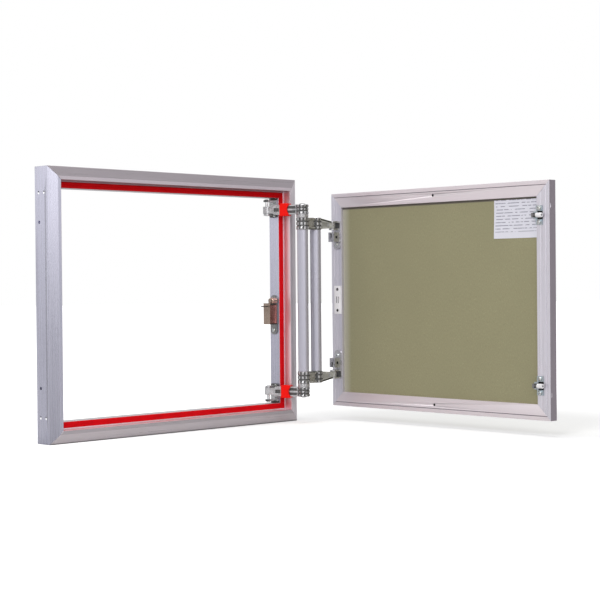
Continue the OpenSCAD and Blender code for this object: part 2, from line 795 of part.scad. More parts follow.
module keeper_plates() {
  color([0.7, 0.71, 0.73]) for (side = [-1, 1]) translate([-jamb_x, keeper_y, side * catch_rise]) difference() {
    union() {
      translate([0, -keeper_w / 2, -keeper_h / 2 + 3]) cube([keeper_t, keeper_w, keeper_h - 6]);
      translate([0, -keeper_w / 2 + 3, -keeper_h / 2]) cube([keeper_t, keeper_w - 6, keeper_h]);
      for (y = [-1, 1], z = [-1, 1])
        translate([0, y * (keeper_w / 2 - 3), z * (keeper_h / 2 - 3)]) rotate([0, 90, 0]) cylinder(r = 3, h = keeper_t);
    }
    for (z = [-keeper_screw, keeper_screw])
      translate([-1, 0, z]) rotate([0, 90, 0]) cylinder(r = shank_r + seat_gap, h = keeper_t + 2);
  }
}

module keeper_screws() {
  color([0.6, 0.62, 0.65]) for (side = [-1, 1], z = [-keeper_screw, keeper_screw])
    translate([-jamb_x + keeper_t, keeper_y, side * catch_rise + z])
      rotate([0, 90, 0]) screw(keeper_t);
}

// Push latch on the hinge jamb
strip_y = latch_front_y + latch_depth / 2;
strip_screw_low = strip_bottom + strip_w / 2;

module latch_strip() {
  color([0.68, 0.68, 0.7]) difference() {
    union() {
      translate([jamb_x - strip_t, strip_y - strip_w / 2, strip_bottom + strip_w / 2])
        cube([strip_t, strip_w, strip_top - strip_bottom - strip_w]);
      for (z = [strip_bottom + strip_w / 2, strip_top - strip_w / 2])
        translate([jamb_x - strip_t, strip_y, z]) rotate([0, 90, 0]) cylinder(d = strip_w, h = strip_t);
    }
    translate([jamb_x - strip_t - 1, strip_y, strip_screw_low]) rotate([0, 90, 0])
      cylinder(r = shank_r + seat_gap, h = strip_t + 2);
  }
}

// Folded sheet housing, open at the top and bottom, its outer wall higher than its front
latch_rise = 1.8;
latch_notch = 1.5;

module latch_housing() {
  x_out = jamb_x - strip_t - latch_w;
  color([0.56, 0.5, 0.46]) difference() {
    union() {
      translate([x_out, latch_front_y, latch_top - latch_h]) cube([latch_w, latch_depth, latch_h]);
      translate([x_out, latch_front_y, latch_top - eps]) cube([latch_wall, latch_depth, latch_rise + eps]);
    }
    translate([x_out + latch_wall, latch_front_y - 1, latch_top - latch_notch])
      cube([latch_w - 2 * latch_wall, latch_wall + 2, latch_notch + 1]);
    translate([x_out + latch_wall, latch_front_y + latch_wall, latch_top - latch_h - 1])
      cube([latch_w - 2 * latch_wall, latch_depth - 2 * latch_wall, latch_h + 2]);
    translate([x_out - 1, strip_y, release_z]) rotate([0, 90, 0]) cylinder(r = release_r + run_gap, h = latch_wall + 2);
  }
}

module latch_screws() {
  color([0.6, 0.61, 0.63])
    translate([jamb_x - strip_t, strip_y, strip_screw_low]) rotate([0, -90, 0]) screw(strip_t);
}

// Sliding carriage: a block in the housing and one cheek that carries the roller axle
carriage_t = 4;
carriage_y = latch_front_y + latch_wall + face_gap;
inner_w = latch_w - 2 * latch_wall;
latch_cheek_t = 1.8;
latch_axle_r = 2;
roller_x = jamb_x - strip_t - 0.3;

module latch_carriage() {
  inner_x = jamb_x - strip_t - latch_w + latch_wall;
  cheek_x = roller_x - latch_roller_len - face_gap - latch_cheek_t;
  color([0.5, 0.45, 0.42]) difference() {
    union() {
      translate([inner_x + face_gap, carriage_y, latch_top - latch_h + 3])
        cube([inner_w - 2 * face_gap, carriage_t, latch_h - 3]);
      translate([cheek_x, carriage_y, latch_top - 4]) cube([latch_cheek_t, carriage_t, 4 + 3]);
      translate([cheek_x, roller_y, roller_z]) rotate([0, 90, 0]) {
        cylinder(r = 3.6, h = latch_cheek_t);
        cylinder(r = latch_axle_r, h = latch_cheek_t + face_gap + latch_roller_len);
      }
    }
    translate([inner_x - 1, carriage_y - 1, release_z - release_r - face_gap])
      cube([7.8, carriage_t + 2, 2 * (release_r + face_gap)]);
  }
}

module latch_roller() {
  color([0.72, 0.62, 0.57]) translate([roller_x - latch_roller_len, roller_y, roller_z]) rotate([0, 90, 0])
    difference() {
      rotate_extrude() polygon(concat(
        [[0, 0]],
        [for (a = [0:15:90]) [roller_r - 2 + 2 * sin(a), 2 - 2 * cos(a)]],
        [for (a = [0:15:90]) [roller_r - 2 + 2 * cos(a), latch_roller_len - 2 + 2 * sin(a)]],
        [[0, latch_roller_len]]
      ));
      translate([0, 0, -1]) cylinder(r = latch_axle_r + run_gap, h = latch_roller_len + 2);
    }
}

// Two coil springs behind the carriage
spring_r = 2.6;
spring_wire = 0.8;
spring_turns = 5;
spring_len = latch_depth - 2 * latch_wall - face_gap - carriage_t;

function coil(turns, r, len, steps) =
  [for (i = [0:turns * steps]) [r * cos(360 * i / steps), r * sin(360 * i / steps), len * i / (turns * steps)]];

module coil_spring() {
  path = coil(spring_turns, spring_r, spring_len - spring_wire, 12);
  sides = 6;
  rings = [for (i = [0:len(path) - 1], k = [0:sides - 1])
    let (a = 360 * i / 12, c = 360 * k / sides)
      path[i] + [spring_wire / 2 * cos(c) * cos(a), spring_wire / 2 * cos(c) * sin(a), spring_wire / 2 * sin(c)]];
  walls = [for (i = [0:len(path) - 2], k = [0:sides - 1])
    [i * sides + k, i * sides + (k + 1) % sides, (i + 1) * sides + (k + 1) % sides, (i + 1) * sides + k]];
  last = (len(path) - 1) * sides;
  caps = [[for (k = [sides - 1:-1:0]) k], [for (k = [0:sides - 1]) last + k]];
  translate([0, 0, spring_wire / 2]) polyhedron(points = rings, faces = concat(walls, caps));
}

module latch_springs() {
  color([0.75, 0.75, 0.77]) for (z = [-9, -23])
    translate([latch_mid_x, carriage_y + carriage_t, latch_top + z - 1]) rotate([-90, 0, 0]) coil_spring();
}

release_r = 0.9;
release_z = latch_top - 3.5;
release_len = 17;

module release_pin() {
  x_out = jamb_x - strip_t - latch_w;
  color([0.6, 0.58, 0.56]) translate([x_out - release_len + latch_wall + 3, strip_y, release_z])
    rotate([0, 90, 0]) cylinder(r = release_r, h = release_len);
}

frame_rail_top();
frame_rail_bottom();
frame_stile_free();
frame_stile_hinge();
frame_cleats();
gasket_top();
gasket_bottom();
gasket_free();
gasket_hinge();
jamb_bracket_upper();
jamb_bracket_lower();
jamb_bracket_screws();
jamb_pins();
swing_arm_upper();
swing_arm_lower();
arm_cuff_upper();
arm_cuff_lower();
elbow_tube();
elbow_plugs();
elbow_pins();
elbow_washers();
link_arm_upper();
link_arm_lower();
link_tube();
door_rail_top();
door_rail_bottom();
door_stile_free();
door_stile_hinge();
door_cleats();
tile_board();
leaflet();
door_bracket_upper();
door_bracket_lower();
door_bracket_screws();
door_pins();
adjusting_screws();
strike_plate();
strike_screws();
catch_bracket_upper();
catch_bracket_lower();
catch_liners();
catch_screws();
catch_roller_upper();
catch_roller_lower();
keeper_plates();
keeper_screws();
latch_strip();
latch_housing();
latch_screws();
latch_carriage();
latch_roller();
latch_springs();
release_pin();
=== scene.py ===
"""Flush tile access panel, door open: the finish of every surface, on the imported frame."""

import json
from math import atan2, cos, pi, radians, sin

import bmesh
import bpy
from mathutils import Matrix, Vector


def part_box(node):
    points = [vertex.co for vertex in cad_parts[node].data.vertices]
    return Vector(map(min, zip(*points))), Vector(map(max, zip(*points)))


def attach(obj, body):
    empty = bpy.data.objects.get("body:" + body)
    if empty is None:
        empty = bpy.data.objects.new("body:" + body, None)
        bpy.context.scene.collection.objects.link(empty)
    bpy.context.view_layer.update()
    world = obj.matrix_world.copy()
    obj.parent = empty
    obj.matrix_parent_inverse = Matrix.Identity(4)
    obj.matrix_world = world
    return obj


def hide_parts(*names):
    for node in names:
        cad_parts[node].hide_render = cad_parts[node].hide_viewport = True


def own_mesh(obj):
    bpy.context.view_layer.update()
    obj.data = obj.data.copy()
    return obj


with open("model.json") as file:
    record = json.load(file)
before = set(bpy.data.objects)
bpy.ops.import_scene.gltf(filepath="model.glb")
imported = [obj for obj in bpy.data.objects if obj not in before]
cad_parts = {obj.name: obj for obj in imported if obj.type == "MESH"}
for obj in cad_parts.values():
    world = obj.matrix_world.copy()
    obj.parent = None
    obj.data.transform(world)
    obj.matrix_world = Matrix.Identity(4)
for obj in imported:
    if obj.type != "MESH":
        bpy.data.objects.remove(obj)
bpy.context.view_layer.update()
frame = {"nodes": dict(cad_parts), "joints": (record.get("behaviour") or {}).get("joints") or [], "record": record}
nodes = frame["nodes"]
MM = 0.001


# Sizes in millimetres, measured from each bar's outer edge and from the front of the frame's stop or door

# The frame's bars and gaskets
FRAME_W = 500
FRAME_H = 400
FRAME_DEPTH = 30
BEVEL_W = 14
LIP_PROUD = 7
LIP_W = 19.5
RIM_W = 1.5
STOP_Y = 8.5
JAMB_W = 31
FRAME_EASE = 0.35
MITRE_GAP = 0.06
CRIMP_INSET = 38
CRIMPS_Y = (STOP_Y - 0.5, FRAME_DEPTH - 9)
FRAME_CRIMP = (1.3, 1.9, 2.6)
FIXING_Z = 119.5
FIXING_Y = 20
FIXING_R = 2.5
FIXING_DEPTH = 9
GASKET_IN = LIP_W + 2.2
GASKET_W = 8.8
GASKET_T = 2.2
# The gasket's cuts, as shares of its width, and how far back its edges lie at three of these shares
GASKET_CUTS = (0.12, 0.45, 0.5, 0.55, 0.82)
GASKET_PRESSED = ((0, 0.9), (0.5, 0.45), (1, 2.05))

# The door's bars, with their seam, the band on the uprights and the hole in the rails
DOOR_W = 451
DOOR_H = 355
DOOR_T = 15
DOOR_BAR_W = 23.5
FLANGE_T = 4.7
EDGE_T = 2
DOOR_EASE = 0.2
DOOR_CRIMP = (0.9, 1.5, 3.8)
SEAM_X = 6.6
SEAM_HALF_W = 0.6
SEAM_DEPTH = 0.9
BAND_FROM = 12.5
BAND_TO = 17
BAND_SLOPE = 0.5
BAND_DEPTH = 0.4
HOLE_X = 12.5
HOLE_R = 2.1
HOLE_DEPTH = 6
DOOR_TURN = radians(-91.2)
DOOR_PIVOT_IN = 15
DOOR_PIVOT_BACK = 14

# The leaflet, and where the board has a painted shadow under the top bar and a painted reflection beside the hinge
# bar
LEAFLET_W = 82
LEAFLET_H = 58
LEAFLET_T = 0.12
LEAFLET_DROP = 2.6
LEAFLET_SIDE = 1
TEXT_ROW = 4.8
TEXT_LEFT = 2
TEXT_DOWN = 49
JOINT_SHADOW_FULL = 2.6
JOINT_SHADOW_GONE = 4.2
EDGE_REFLECTION_FULL = 2
EDGE_REFLECTION_GONE = 16

# The knuckles' studs and crevices, the lever and block of each link arm, the brackets' ears and plates
KNUCKLE_R = 10.2
STUD_ROWS = 3
GROOVES = 10
GROOVE_R = 1.5
GROOVE_END = 0.8
RING_R = 1.2
CREVICE_END = 0.6
CREVICE_FROM = 2
CREVICE_TO = 0.45
JOINED = 0.72
LINK_T = 20
LEVER_FROM = 37.9
LEVER_FALL = 4
LEVER_TOP = 9.4
LEVER_RIM = 2.7
LEVER_TO_PIN = 9
LEVER_TO_EYE = 6
KNUCKLE_REACH = 7
BLOCK_FOOT = 2.2
EYE_DROP = 2
EAR_APART = 4.8
EAR_FLOOR_Y = -2.5
PLATE_HEAD = 16.6
PLATE_NECK = 12.6
PLATE_FOOT = -3
PLATE_T = 3.5
LUG_PAST_PIN = 1.5

# The catches, the strike plate's slots and the latch
CATCH_CHEEK_Y = -2.2
ROLLER_END = 1.3
SLOTS_X = 14.5
SLOT_HALF_W = 2.7
SLOTS_HALF_H = 5.6
HOUSING_FOOT = 1.6
WIRE_R = 0.4
COIL_TURNS = 5

SMOOTH_BELOW = radians(38)
LEVELS = ((1, "upper"), (-1, "lower"))

joint_place = {j["name"]: Vector(j.get("pos_m") or (0, 0, 0)) for j in frame["joints"]}
pivot_in_door = Vector((DOOR_PIVOT_IN, -DOOR_PIVOT_BACK, 0)) * MM
door_turned = Matrix.Rotation(DOOR_TURN, 4, "Z")
door_corner = joint_place["door_pivot"] - door_turned @ pivot_in_door
DOOR_PLACE = Matrix.Translation(door_corner) @ door_turned
to_door = DOOR_PLACE.inverted()


# Modelling by hand

def choose(piece):
    """Selects this piece alone and makes it active."""
    bpy.ops.object.select_all(action="DESELECT")
    piece.select_set(True)
    bpy.context.view_layer.objects.active = piece


def block(name, low, high):
    """A block between two corners in millimetres, to be shaped further."""
    low, high = Vector(low) * MM, Vector(high) * MM
    bpy.ops.object.select_all(action="DESELECT")
    bpy.ops.mesh.primitive_cube_add(size=1, location=(low + high) / 2, scale=high - low)
    piece = bpy.context.object
    piece.name = name
    bpy.ops.object.transform_apply(location=True, rotation=True, scale=True)
    return piece


def rod(name, place, radius, length, turn=(0, 0, 0), sides=32):
    """A round bar about a middle point, all in millimetres."""
    bpy.ops.object.select_all(action="DESELECT")
    bpy.ops.mesh.primitive_cylinder_add(
        vertices=sides, radius=radius * MM, depth=length * MM, location=Vector(place) * MM, rotation=turn
    )
    piece = bpy.context.object
    piece.name = name
    bpy.ops.object.transform_apply(location=True, rotation=True, scale=True)
    return piece


def pick(kind, test):
    """In edit mode, selects the faces or edges that pass the test on their middle, in millimetres."""
    mesh = bmesh.from_edit_mesh(bpy.context.edit_object.data)
    bpy.ops.mesh.select_mode(type={"faces": "FACE", "edges": "EDGE"}[kind])
    bpy.ops.mesh.select_all(action="DESELECT")
    for item in getattr(mesh, kind):
        middle = sum((v.co for v in item.verts), Vector()) / len(item.verts) / MM
        if test(middle, item):
            item.select_set(True)
    mesh.select_flush_mode()
    bmesh.update_edit_mesh(bpy.context.edit_object.data)


def score(point, normal, keep_both=True):
    """In edit mode, cuts the whole mesh with a plane, and takes away what lies past it if asked."""
    bpy.ops.mesh.select_all(action="SELECT")
    bpy.ops.mesh.bisect(
        plane_co=Vector(point) * MM, plane_no=Vector(normal).normalized(),
        use_fill=not keep_both, clear_outer=not keep_both,
    )


def score_piece(piece, *planes):
    """Cuts new edges into a piece with planes, each a point in millimetres and a normal."""
    choose(piece)
    bpy.ops.object.mode_set(mode="EDIT")
    for point, normal in planes:
        score(point, normal)
    bpy.ops.object.mode_set(mode="OBJECT")


def press_back(front, across, depth):
    """In edit mode, moves back the long edges of a bar's front whose place across it passes the test."""
    pick("edges", lambda middle, edge: middle.y < front and across(middle.x) and abs(middle.z) < 1)
    bpy.ops.transform.translate(value=(0, depth * MM, 0))


def finish_with(piece, kind, **settings):
    """Adds a modifier and applies it."""
    choose(piece)
    added = piece.modifiers.new(kind.title(), kind)
    for name, value in settings.items():
        setattr(added, name, value)
    bpy.ops.object.modifier_apply(modifier=added.name)


def ease(piece, width, angle):
    """Rounds by this many millimetres the edges that turn more than the angle, and smooths the faces."""
    finish_with(
        piece, "BEVEL", width=width * MM, segments=3, limit_method="ANGLE",
        angle_limit=radians(angle), use_clamp_overlap=True,
    )
    bpy.ops.object.shade_smooth_by_angle(angle=SMOOTH_BELOW)
    finish_with(piece, "WEIGHTED_NORMAL", keep_sharp=True)


def carve(piece, cutters):
    """Cuts these shapes out of a piece."""
    for cutter in cutters:
        finish_with(piece, "BOOLEAN", operation="DIFFERENCE", object=cutter, solver="EXACT")
        bpy.data.objects.remove(cutter)


def move_to(piece, place):
    """Puts a piece at a place, in its mesh."""
    choose(piece)
    piece.matrix_world = place @ piece.matrix_world
    bpy.ops.object.transform_apply(location=True, rotation=True, scale=True)


def wear(piece, material, body, slot, *stands_for):
    """Gives a piece its material, its body and the CAD nodes that it stands for; its slot is not used."""
    piece.data.materials.clear()
    piece.data.materials.append(material)
    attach(piece, body)
    if stands_for:
        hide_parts(*stands_for)


def faces_where(piece, test):
    """The faces of a piece whose middle, in millimetres, and normal pass the test."""
    return [face.index for face in piece.data.polygons if test(face.center / MM, face.normal)]


def use_on(piece, material, faces):
    """Gives some faces of a piece a material of their own."""
    piece.data.materials.append(material)
    for index in faces:
        piece.data.polygons[index].material_index = len(piece.data.materials) - 1


def eased_copy(node, material, slot, width):
    """A copy of a CAD node with its edges rounded, which stands for the node."""
    piece = bpy.data.objects.new(node + "_made", nodes[node].data.copy())
    bpy.context.scene.collection.objects.link(piece)
    choose(piece)
    bpy.ops.object.mode_set(mode="EDIT")
    bpy.ops.mesh.select_all(action="SELECT")
    bpy.ops.mesh.remove_doubles(threshold=0.000004)
    bpy.ops.mesh.dissolve_limited(angle_limit=radians(0.6))
    bpy.ops.object.mode_set(mode="OBJECT")
    ease(piece, width, angle=32)
    body = next(b for b, members in frame["record"]["behaviour"]["bodies"].items() if node in members)
    wear(piece, material, body, slot, node)


def piece_for(node):
    """The piece that stands for a CAD node."""
    return bpy.data.objects[node + "_made"]


# Finishes

def new_finish(name, colour, rough, metal=0.0):
    """A principled material with its tree and shader."""
    material = bpy.data.materials.new(name)
    material.use_nodes = True
    tree = material.node_tree
    shader = tree.nodes["Principled BSDF"]
    shader.inputs["Base Color"].default_value = (*colour, 1)
    shader.inputs["Roughness"].default_value = rough
    shader.inputs["Metallic"].default_value = metal
    return material, tree, shader


def place_pattern(tree, scale, turn=0.0):
    """Object coordinates, turned about the upright axis and scaled along each axis."""
    coordinates = tree.nodes.new("ShaderNodeTexCoord")
    turned = tree.nodes.new("ShaderNodeMapping")
    turned.inputs["Rotation"].default_value = (0, 0, turn)
    scaled = tree.nodes.new("ShaderNodeMapping")
    scaled.inputs["Scale"].default_value = scale
    tree.links.new(coordinates.outputs["Object"], turned.inputs["Vector"])
    tree.links.new(turned.outputs["Vector"], scaled.inputs["Vector"])
    return scaled.outputs["Vector"]


def noise(tree, where, detail=2.0, rough=0.5, warp=0.0):
    """A cloudy pattern on coordinates that are already scaled, from 0 to 1 and mostly near 0.5."""
    made = tree.nodes.new("ShaderNodeTexNoise")
    made.inputs["Scale"].default_value = 1.0
    made.inputs["Detail"].default_value = detail
    made.inputs["Roughness"].default_value = rough
    made.inputs["Distortion"].default_value = warp
    tree.links.new(where, made.inputs["Vector"])
    return made.outputs["Fac"]


def spread(tree, value, low, high, to_low=0.0, to_high=1.0):
    """Maps a value from low and high to new limits, and no further."""
    made = tree.nodes.new("ShaderNodeMapRange")
    for name, number in (("From Min", low), ("From Max", high), ("To Min", to_low), ("To Max", to_high)):
        made.inputs[name].default_value = number
    tree.links.new(value, made.inputs["Value"])
    return made.outputs["Result"]


def count(tree, operation, first, second):
    """Arithmetic on two values, each a number or a socket."""
    made = tree.nodes.new("ShaderNodeMath")
    made.operation = operation
    for slot_in, value in zip(made.inputs, (first, second)):
        if isinstance(value, (int, float)):
            slot_in.default_value = value
        else:
            tree.links.new(value, slot_in)
    return made.outputs["Value"]


def blend_colours(tree, amount, first, second):
    """Mixes two colours, each a triple or a socket, by the amount that a socket gives."""
    made = tree.nodes.new("ShaderNodeMix")
    made.data_type = "RGBA"
    slots = [s for s in made.inputs if s.type == "RGBA"]
    for slot_in, colour in zip(slots, (first, second)):
        if isinstance(colour, tuple):
            slot_in.default_value = (*colour, 1)
        else:
            tree.links.new(colour, slot_in)
    tree.links.new(amount, made.inputs[0])
    return next(s for s in made.outputs if s.type == "RGBA")


def emboss(tree, shader, height, strength, depth):
    """Drives the shader's normal with a height pattern, depth in millimetres."""
    made = tree.nodes.new("ShaderNodeBump")
    made.inputs["Strength"].default_value = strength
    made.inputs["Distance"].default_value = depth * MM
    tree.links.new(height, made.inputs["Height"])
    tree.links.new(made.outputs["Normal"], shader.inputs["Normal"])


def shade_of(colour, factor):
    """A darker or lighter shade of a colour."""
    return tuple(min(1.0, c * factor) for c in colour)


def extruded(name, colour, along, turn=0.0, metal=0.7, rough=0.32, painted_foot_shade=0.0, grain=0.03):
    """Aluminium with drawing streaks that run along one axis, and, when asked, painted shade that darkens it
    towards its foot.
    """
    material, tree, shader = new_finish(name, colour, rough, metal)
    fine = tuple(9 if axis == along else 1500 for axis in "XYZ")
    broad = tuple(1.5 if axis == along else 170 for axis in "XYZ")
    streaks = noise(tree, place_pattern(tree, fine, turn), detail=3)
    bands = noise(tree, place_pattern(tree, broad, turn), detail=2)
    clouds = noise(tree, place_pattern(tree, (14, 14, 14), turn), detail=4, rough=0.6)
    base = blend_colours(
        tree, spread(tree, streaks, 0.32, 0.68), shade_of(colour, 0.97), shade_of(colour, 1.03)
    )
    base = blend_colours(tree, spread(tree, bands, 0.35, 0.65, 0.0, 0.5), base, shade_of(colour, 1.04))
    base = blend_colours(tree, spread(tree, clouds, 0.4, 0.75, 0.0, 0.5), base, shade_of(colour, 0.95))
    # Painted shade: darker towards the foot
    if painted_foot_shade:
        apart = tree.nodes.new("ShaderNodeSeparateXYZ")
        tree.links.new(place_pattern(tree, (1, 1, 1)), apart.inputs["Vector"])
        height = spread(tree, apart.outputs["Z"], -FRAME_H / 2 * MM, FRAME_H / 2 * MM, painted_foot_shade, 0.0)
        base = blend_colours(tree, height, base, (0, 0, 0))
    tree.links.new(base, shader.inputs["Base Color"])
    tree.links.new(spread(tree, streaks, 0.3, 0.7, rough - 0.06, rough + 0.08), shader.inputs["Roughness"])
    emboss(tree, shader, streaks, 0.35, grain)
    return material


def casting(name, colour, metal=0.7, rough=0.3, grain=420):
    """Tumbled zinc casting: fine dimples and cloudy tone."""
    material, tree, shader = new_finish(name, colour, rough, metal)
    dimples = noise(tree, place_pattern(tree, (grain,) * 3), detail=4, rough=0.65)
    clouds = noise(tree, place_pattern(tree, (95,) * 3), detail=3, warp=0.6)
    base = blend_colours(
        tree, spread(tree, clouds, 0.36, 0.64), shade_of(colour, 0.84), shade_of(colour, 1.16)
    )
    base = blend_colours(tree, spread(tree, dimples, 0.35, 0.8, 0.0, 0.6), base, shade_of(colour, 0.8))
    tree.links.new(base, shader.inputs["Base Color"])
    tree.links.new(spread(tree, clouds, 0.3, 0.7, rough - 0.1, rough + 0.1), shader.inputs["Roughness"])
    emboss(tree, shader, dimples, 0.6, 0.08)
    return material


def plated(name, colour, tint, metal=0.85, rough=0.26):
    """Zinc plated sheet and screws: a bright skin with a faint second tint."""
    material, tree, shader = new_finish(name, colour, rough, metal)
    clouds = noise(tree, place_pattern(tree, (160,) * 3), detail=3, warp=0.8)
    grain = noise(tree, place_pattern(tree, (1300,) * 3), detail=2)
    base = blend_colours(tree, spread(tree, clouds, 0.35, 0.7), colour, tint)
    base = blend_colours(tree, spread(tree, grain, 0.4, 0.8, 0.0, 0.35), base, shade_of(colour, 0.75))
    tree.links.new(base, shader.inputs["Base Color"])
    tree.links.new(spread(tree, grain, 0.3, 0.7, rough - 0.05, rough + 0.12), shader.inputs["Roughness"])
    emboss(tree, shader, grain, 0.2, 0.02)
    return material


def moulded(name, colour, rough, grain=900, depth=0.02, gloss=0.5):
    """Plastic or rubber with a fine moulded grain."""
    material, tree, shader = new_finish(name, colour, rough)
    shader.inputs["Specular IOR Level"].default_value = gloss
    fine = noise(tree, place_pattern(tree, (grain,) * 3), detail=3)
    broad = noise(tree, place_pattern(tree, (45,) * 3), detail=2)
    base = blend_colours(tree, spread(tree, broad, 0.35, 0.7), colour, shade_of(colour, 0.88))
    tree.links.new(base, shader.inputs["Base Color"])
    tree.links.new(spread(tree, fine, 0.3, 0.7, rough - 0.06, rough + 0.08), shader.inputs["Roughness"])
    emboss(tree, shader, fine, 0.4, depth)
    return material


def from_door_middle(tree):
    """How far a point is from the middle of the open door: across, through and up."""
    coordinates = tree.nodes.new("ShaderNodeTexCoord")
    centred = tree.nodes.new("ShaderNodeVectorMath")
    centred.operation = "SUBTRACT"
    centred.inputs[1].default_value = DOOR_PLACE @ (Vector((DOOR_W / 2, 0, 0)) * MM)
    tree.links.new(coordinates.outputs["Object"], centred.inputs[0])
    turned = tree.nodes.new("ShaderNodeMapping")
    turned.inputs["Rotation"].default_value = (0, 0, -DOOR_TURN)
    tree.links.new(centred.outputs["Vector"], turned.inputs["Vector"])
    apart = tree.nodes.new("ShaderNodeSeparateXYZ")
    tree.links.new(turned.outputs["Vector"], apart.inputs["Vector"])
    return apart.outputs


def painted_joint_shadow(tree):
    """Most in the painted shadow at the board's back, below the door's top bar, and 0 away from it."""
    spot = from_door_middle(tree)
    gap = count(tree, "SUBTRACT", (DOOR_H / 2 - DOOR_BAR_W) * MM, spot["Z"])
    at_back = spread(tree, spot["Y"], (FLANGE_T + 0.5) * MM, (FLANGE_T + 0.6) * MM, 1.0, 0.0)
    return count(tree, "MULTIPLY", at_back, spread(tree, gap, JOINT_SHADOW_FULL * MM, JOINT_SHADOW_GONE * MM, 0.8, 0.0))


def board_finish():
    """Olive paper face of a moisture resistant board: fibres, specks, clouds, a painted reflection along the hinge
    edge and a painted shadow under the top bar.
    """
    olive = (0.318, 0.298, 0.180)
    hinge_edge_reflection = (0.56, 0.54, 0.48)
    painted_shadow_colour = (0.09, 0.08, 0.085)
    material, tree, shader = new_finish("olive_board", olive, 0.85)
    shader.inputs["Specular IOR Level"].default_value = 0.2
    fibres = noise(tree, place_pattern(tree, (900, 900, 260), -DOOR_TURN), detail=4, rough=0.7)
    specks = noise(tree, place_pattern(tree, (520,) * 3), detail=3, rough=0.8)
    clouds = noise(tree, place_pattern(tree, (9, 9, 6)), detail=4)
    base = blend_colours(
        tree, spread(tree, fibres, 0.3, 0.7), shade_of(olive, 0.88), shade_of(olive, 1.12)
    )
    base = blend_colours(tree, spread(tree, specks, 0.6, 0.72, 0.0, 0.55), base, shade_of(olive, 1.8))
    base = blend_colours(tree, spread(tree, specks, 0.4, 0.3, 0.0, 0.5), base, shade_of(olive, 0.6))
    base = blend_colours(tree, spread(tree, clouds, 0.35, 0.75, 0.0, 0.5), base, shade_of(olive, 0.9))
    spot = from_door_middle(tree)
    # Painted reflection: a paler band along the board's hinge edge
    hinge_side = DOOR_BAR_W - DOOR_W / 2
    across = count(tree, "SUBTRACT", spot["X"], hinge_side * MM)
    edge = spread(tree, across, EDGE_REFLECTION_FULL * MM, EDGE_REFLECTION_GONE * MM, 0.6, 0.0)
    base = blend_colours(tree, edge, base, hinge_edge_reflection)
    # Painted shadow of the top bar along the board's top edge
    base = blend_colours(tree, painted_joint_shadow(tree), base, painted_shadow_colour)
    tree.links.new(base, shader.inputs["Base Color"])
    emboss(tree, shader, fibres, 0.5, 0.05)
    return material


def leaflet_finish():
    """Office paper with rows of plain grey dashes in place of its text."""
    paper = (0.77, 0.765, 0.84)
    grey_ink = (0.16, 0.15, 0.22)
    material, tree, shader = new_finish("leaflet_paper", paper, 0.7)
    shader.inputs["Specular IOR Level"].default_value = 0.3
    fibres = noise(tree, place_pattern(tree, (700,) * 3), detail=4, rough=0.7)
    base = blend_colours(tree, spread(tree, fibres, 0.3, 0.75), paper, shade_of(paper, 0.95))
    rows = tree.nodes.new("ShaderNodeTexWave")
    rows.bands_direction = "Z"
    rows.inputs["Scale"].default_value = 2 * pi / 20 / (TEXT_ROW * MM)
    rows.inputs["Distortion"].default_value = 0.2
    tree.links.new(place_pattern(tree, (1, 1, 1)), rows.inputs["Vector"])
    breaks = noise(tree, place_pattern(tree, (150, 150, 205), -DOOR_TURN), detail=2, rough=0.6)
    dashes = count(
        tree, "MULTIPLY", spread(tree, rows.outputs["Fac"], 0.72, 0.95, 0.0, 0.75),
        spread(tree, breaks, 0.43, 0.47),
    )
    spot = from_door_middle(tree)
    left = DOOR_W / 2 - DOOR_BAR_W - LEAFLET_SIDE - LEAFLET_W
    top = DOOR_H / 2 - DOOR_BAR_W - LEAFLET_DROP
    for axis, start in (("X", left + TEXT_LEFT), ("Z", top - TEXT_DOWN)):
        dashes = count(tree, "MULTIPLY", dashes, spread(tree, spot[axis], start * MM, (start + 1) * MM))
    base = blend_colours(tree, dashes, base, grey_ink)
    tree.links.new(base, shader.inputs["Base Color"])
    emboss(tree, shader, fibres, 0.3, 0.03)
    return material


# Painted light and shade: the frame's uprights and rails are one aluminium, and these copies differ in tone by how
# light falls on them
frame_upright = extruded("frame_upright_aluminium", (0.62, 0.615, 0.74), "Z", rough=0.26, painted_foot_shade=0.36)
frame_level = extruded("frame_level_aluminium", (0.41, 0.375, 0.40), "X")
# Painted highlight: bright glints on the crimping dents' upper faces; painted shade on their lower faces below
painted_dent_glint = extruded("bare_dents_aluminium", (0.92, 0.92, 0.95), "Z", metal=0.5, rough=0.25)
# Painted shade: the top rail's reveal, darker where it lies in shadow under the lip
top_reveal_painted_shade = extruded("top_reveal_aluminium", (0.40, 0.26, 0.29), "X", rough=0.4)
# Painted light and shade: lighter and darker copies for the lips of the rails and the free upright
top_bevel = extruded("top_bevel_aluminium", (0.465, 0.42, 0.455), "X")
top_crest = extruded("top_crest_aluminium", (0.60, 0.54, 0.59), "X")
bottom_bevel = extruded("bottom_bevel_aluminium", (0.54, 0.495, 0.52), "X")
# Painted shade: a dark line along the bottom rail's outer rim
bottom_rim_painted_shade = extruded("bottom_rim_aluminium", (0.16, 0.15, 0.155), "X", metal=0.4, rough=0.5)
free_bevel = extruded("free_bevel_aluminium", (0.43, 0.425, 0.505), "Z", rough=0.26, painted_foot_shade=0.3)
dent_shade = extruded("shaded_dents_aluminium", (0.10, 0.10, 0.12), "Z", metal=0.3, rough=0.5)
# Painted reflection: the reveals' pink stands for the red gaskets mirrored in them, on top of the metal's own
# reflection
frame_reveal_painted_pink = extruded("frame_reveal_aluminium", (0.90, 0.76, 0.81), "Z", metal=0.85, rough=0.4, grain=0.005)
# Painted light: a lighter copy for the front of the hinge upright
frame_far_bevel_painted_light = extruded("frame_far_bevel_aluminium", (0.62, 0.57, 0.62), "Z", metal=0.25, rough=0.4)
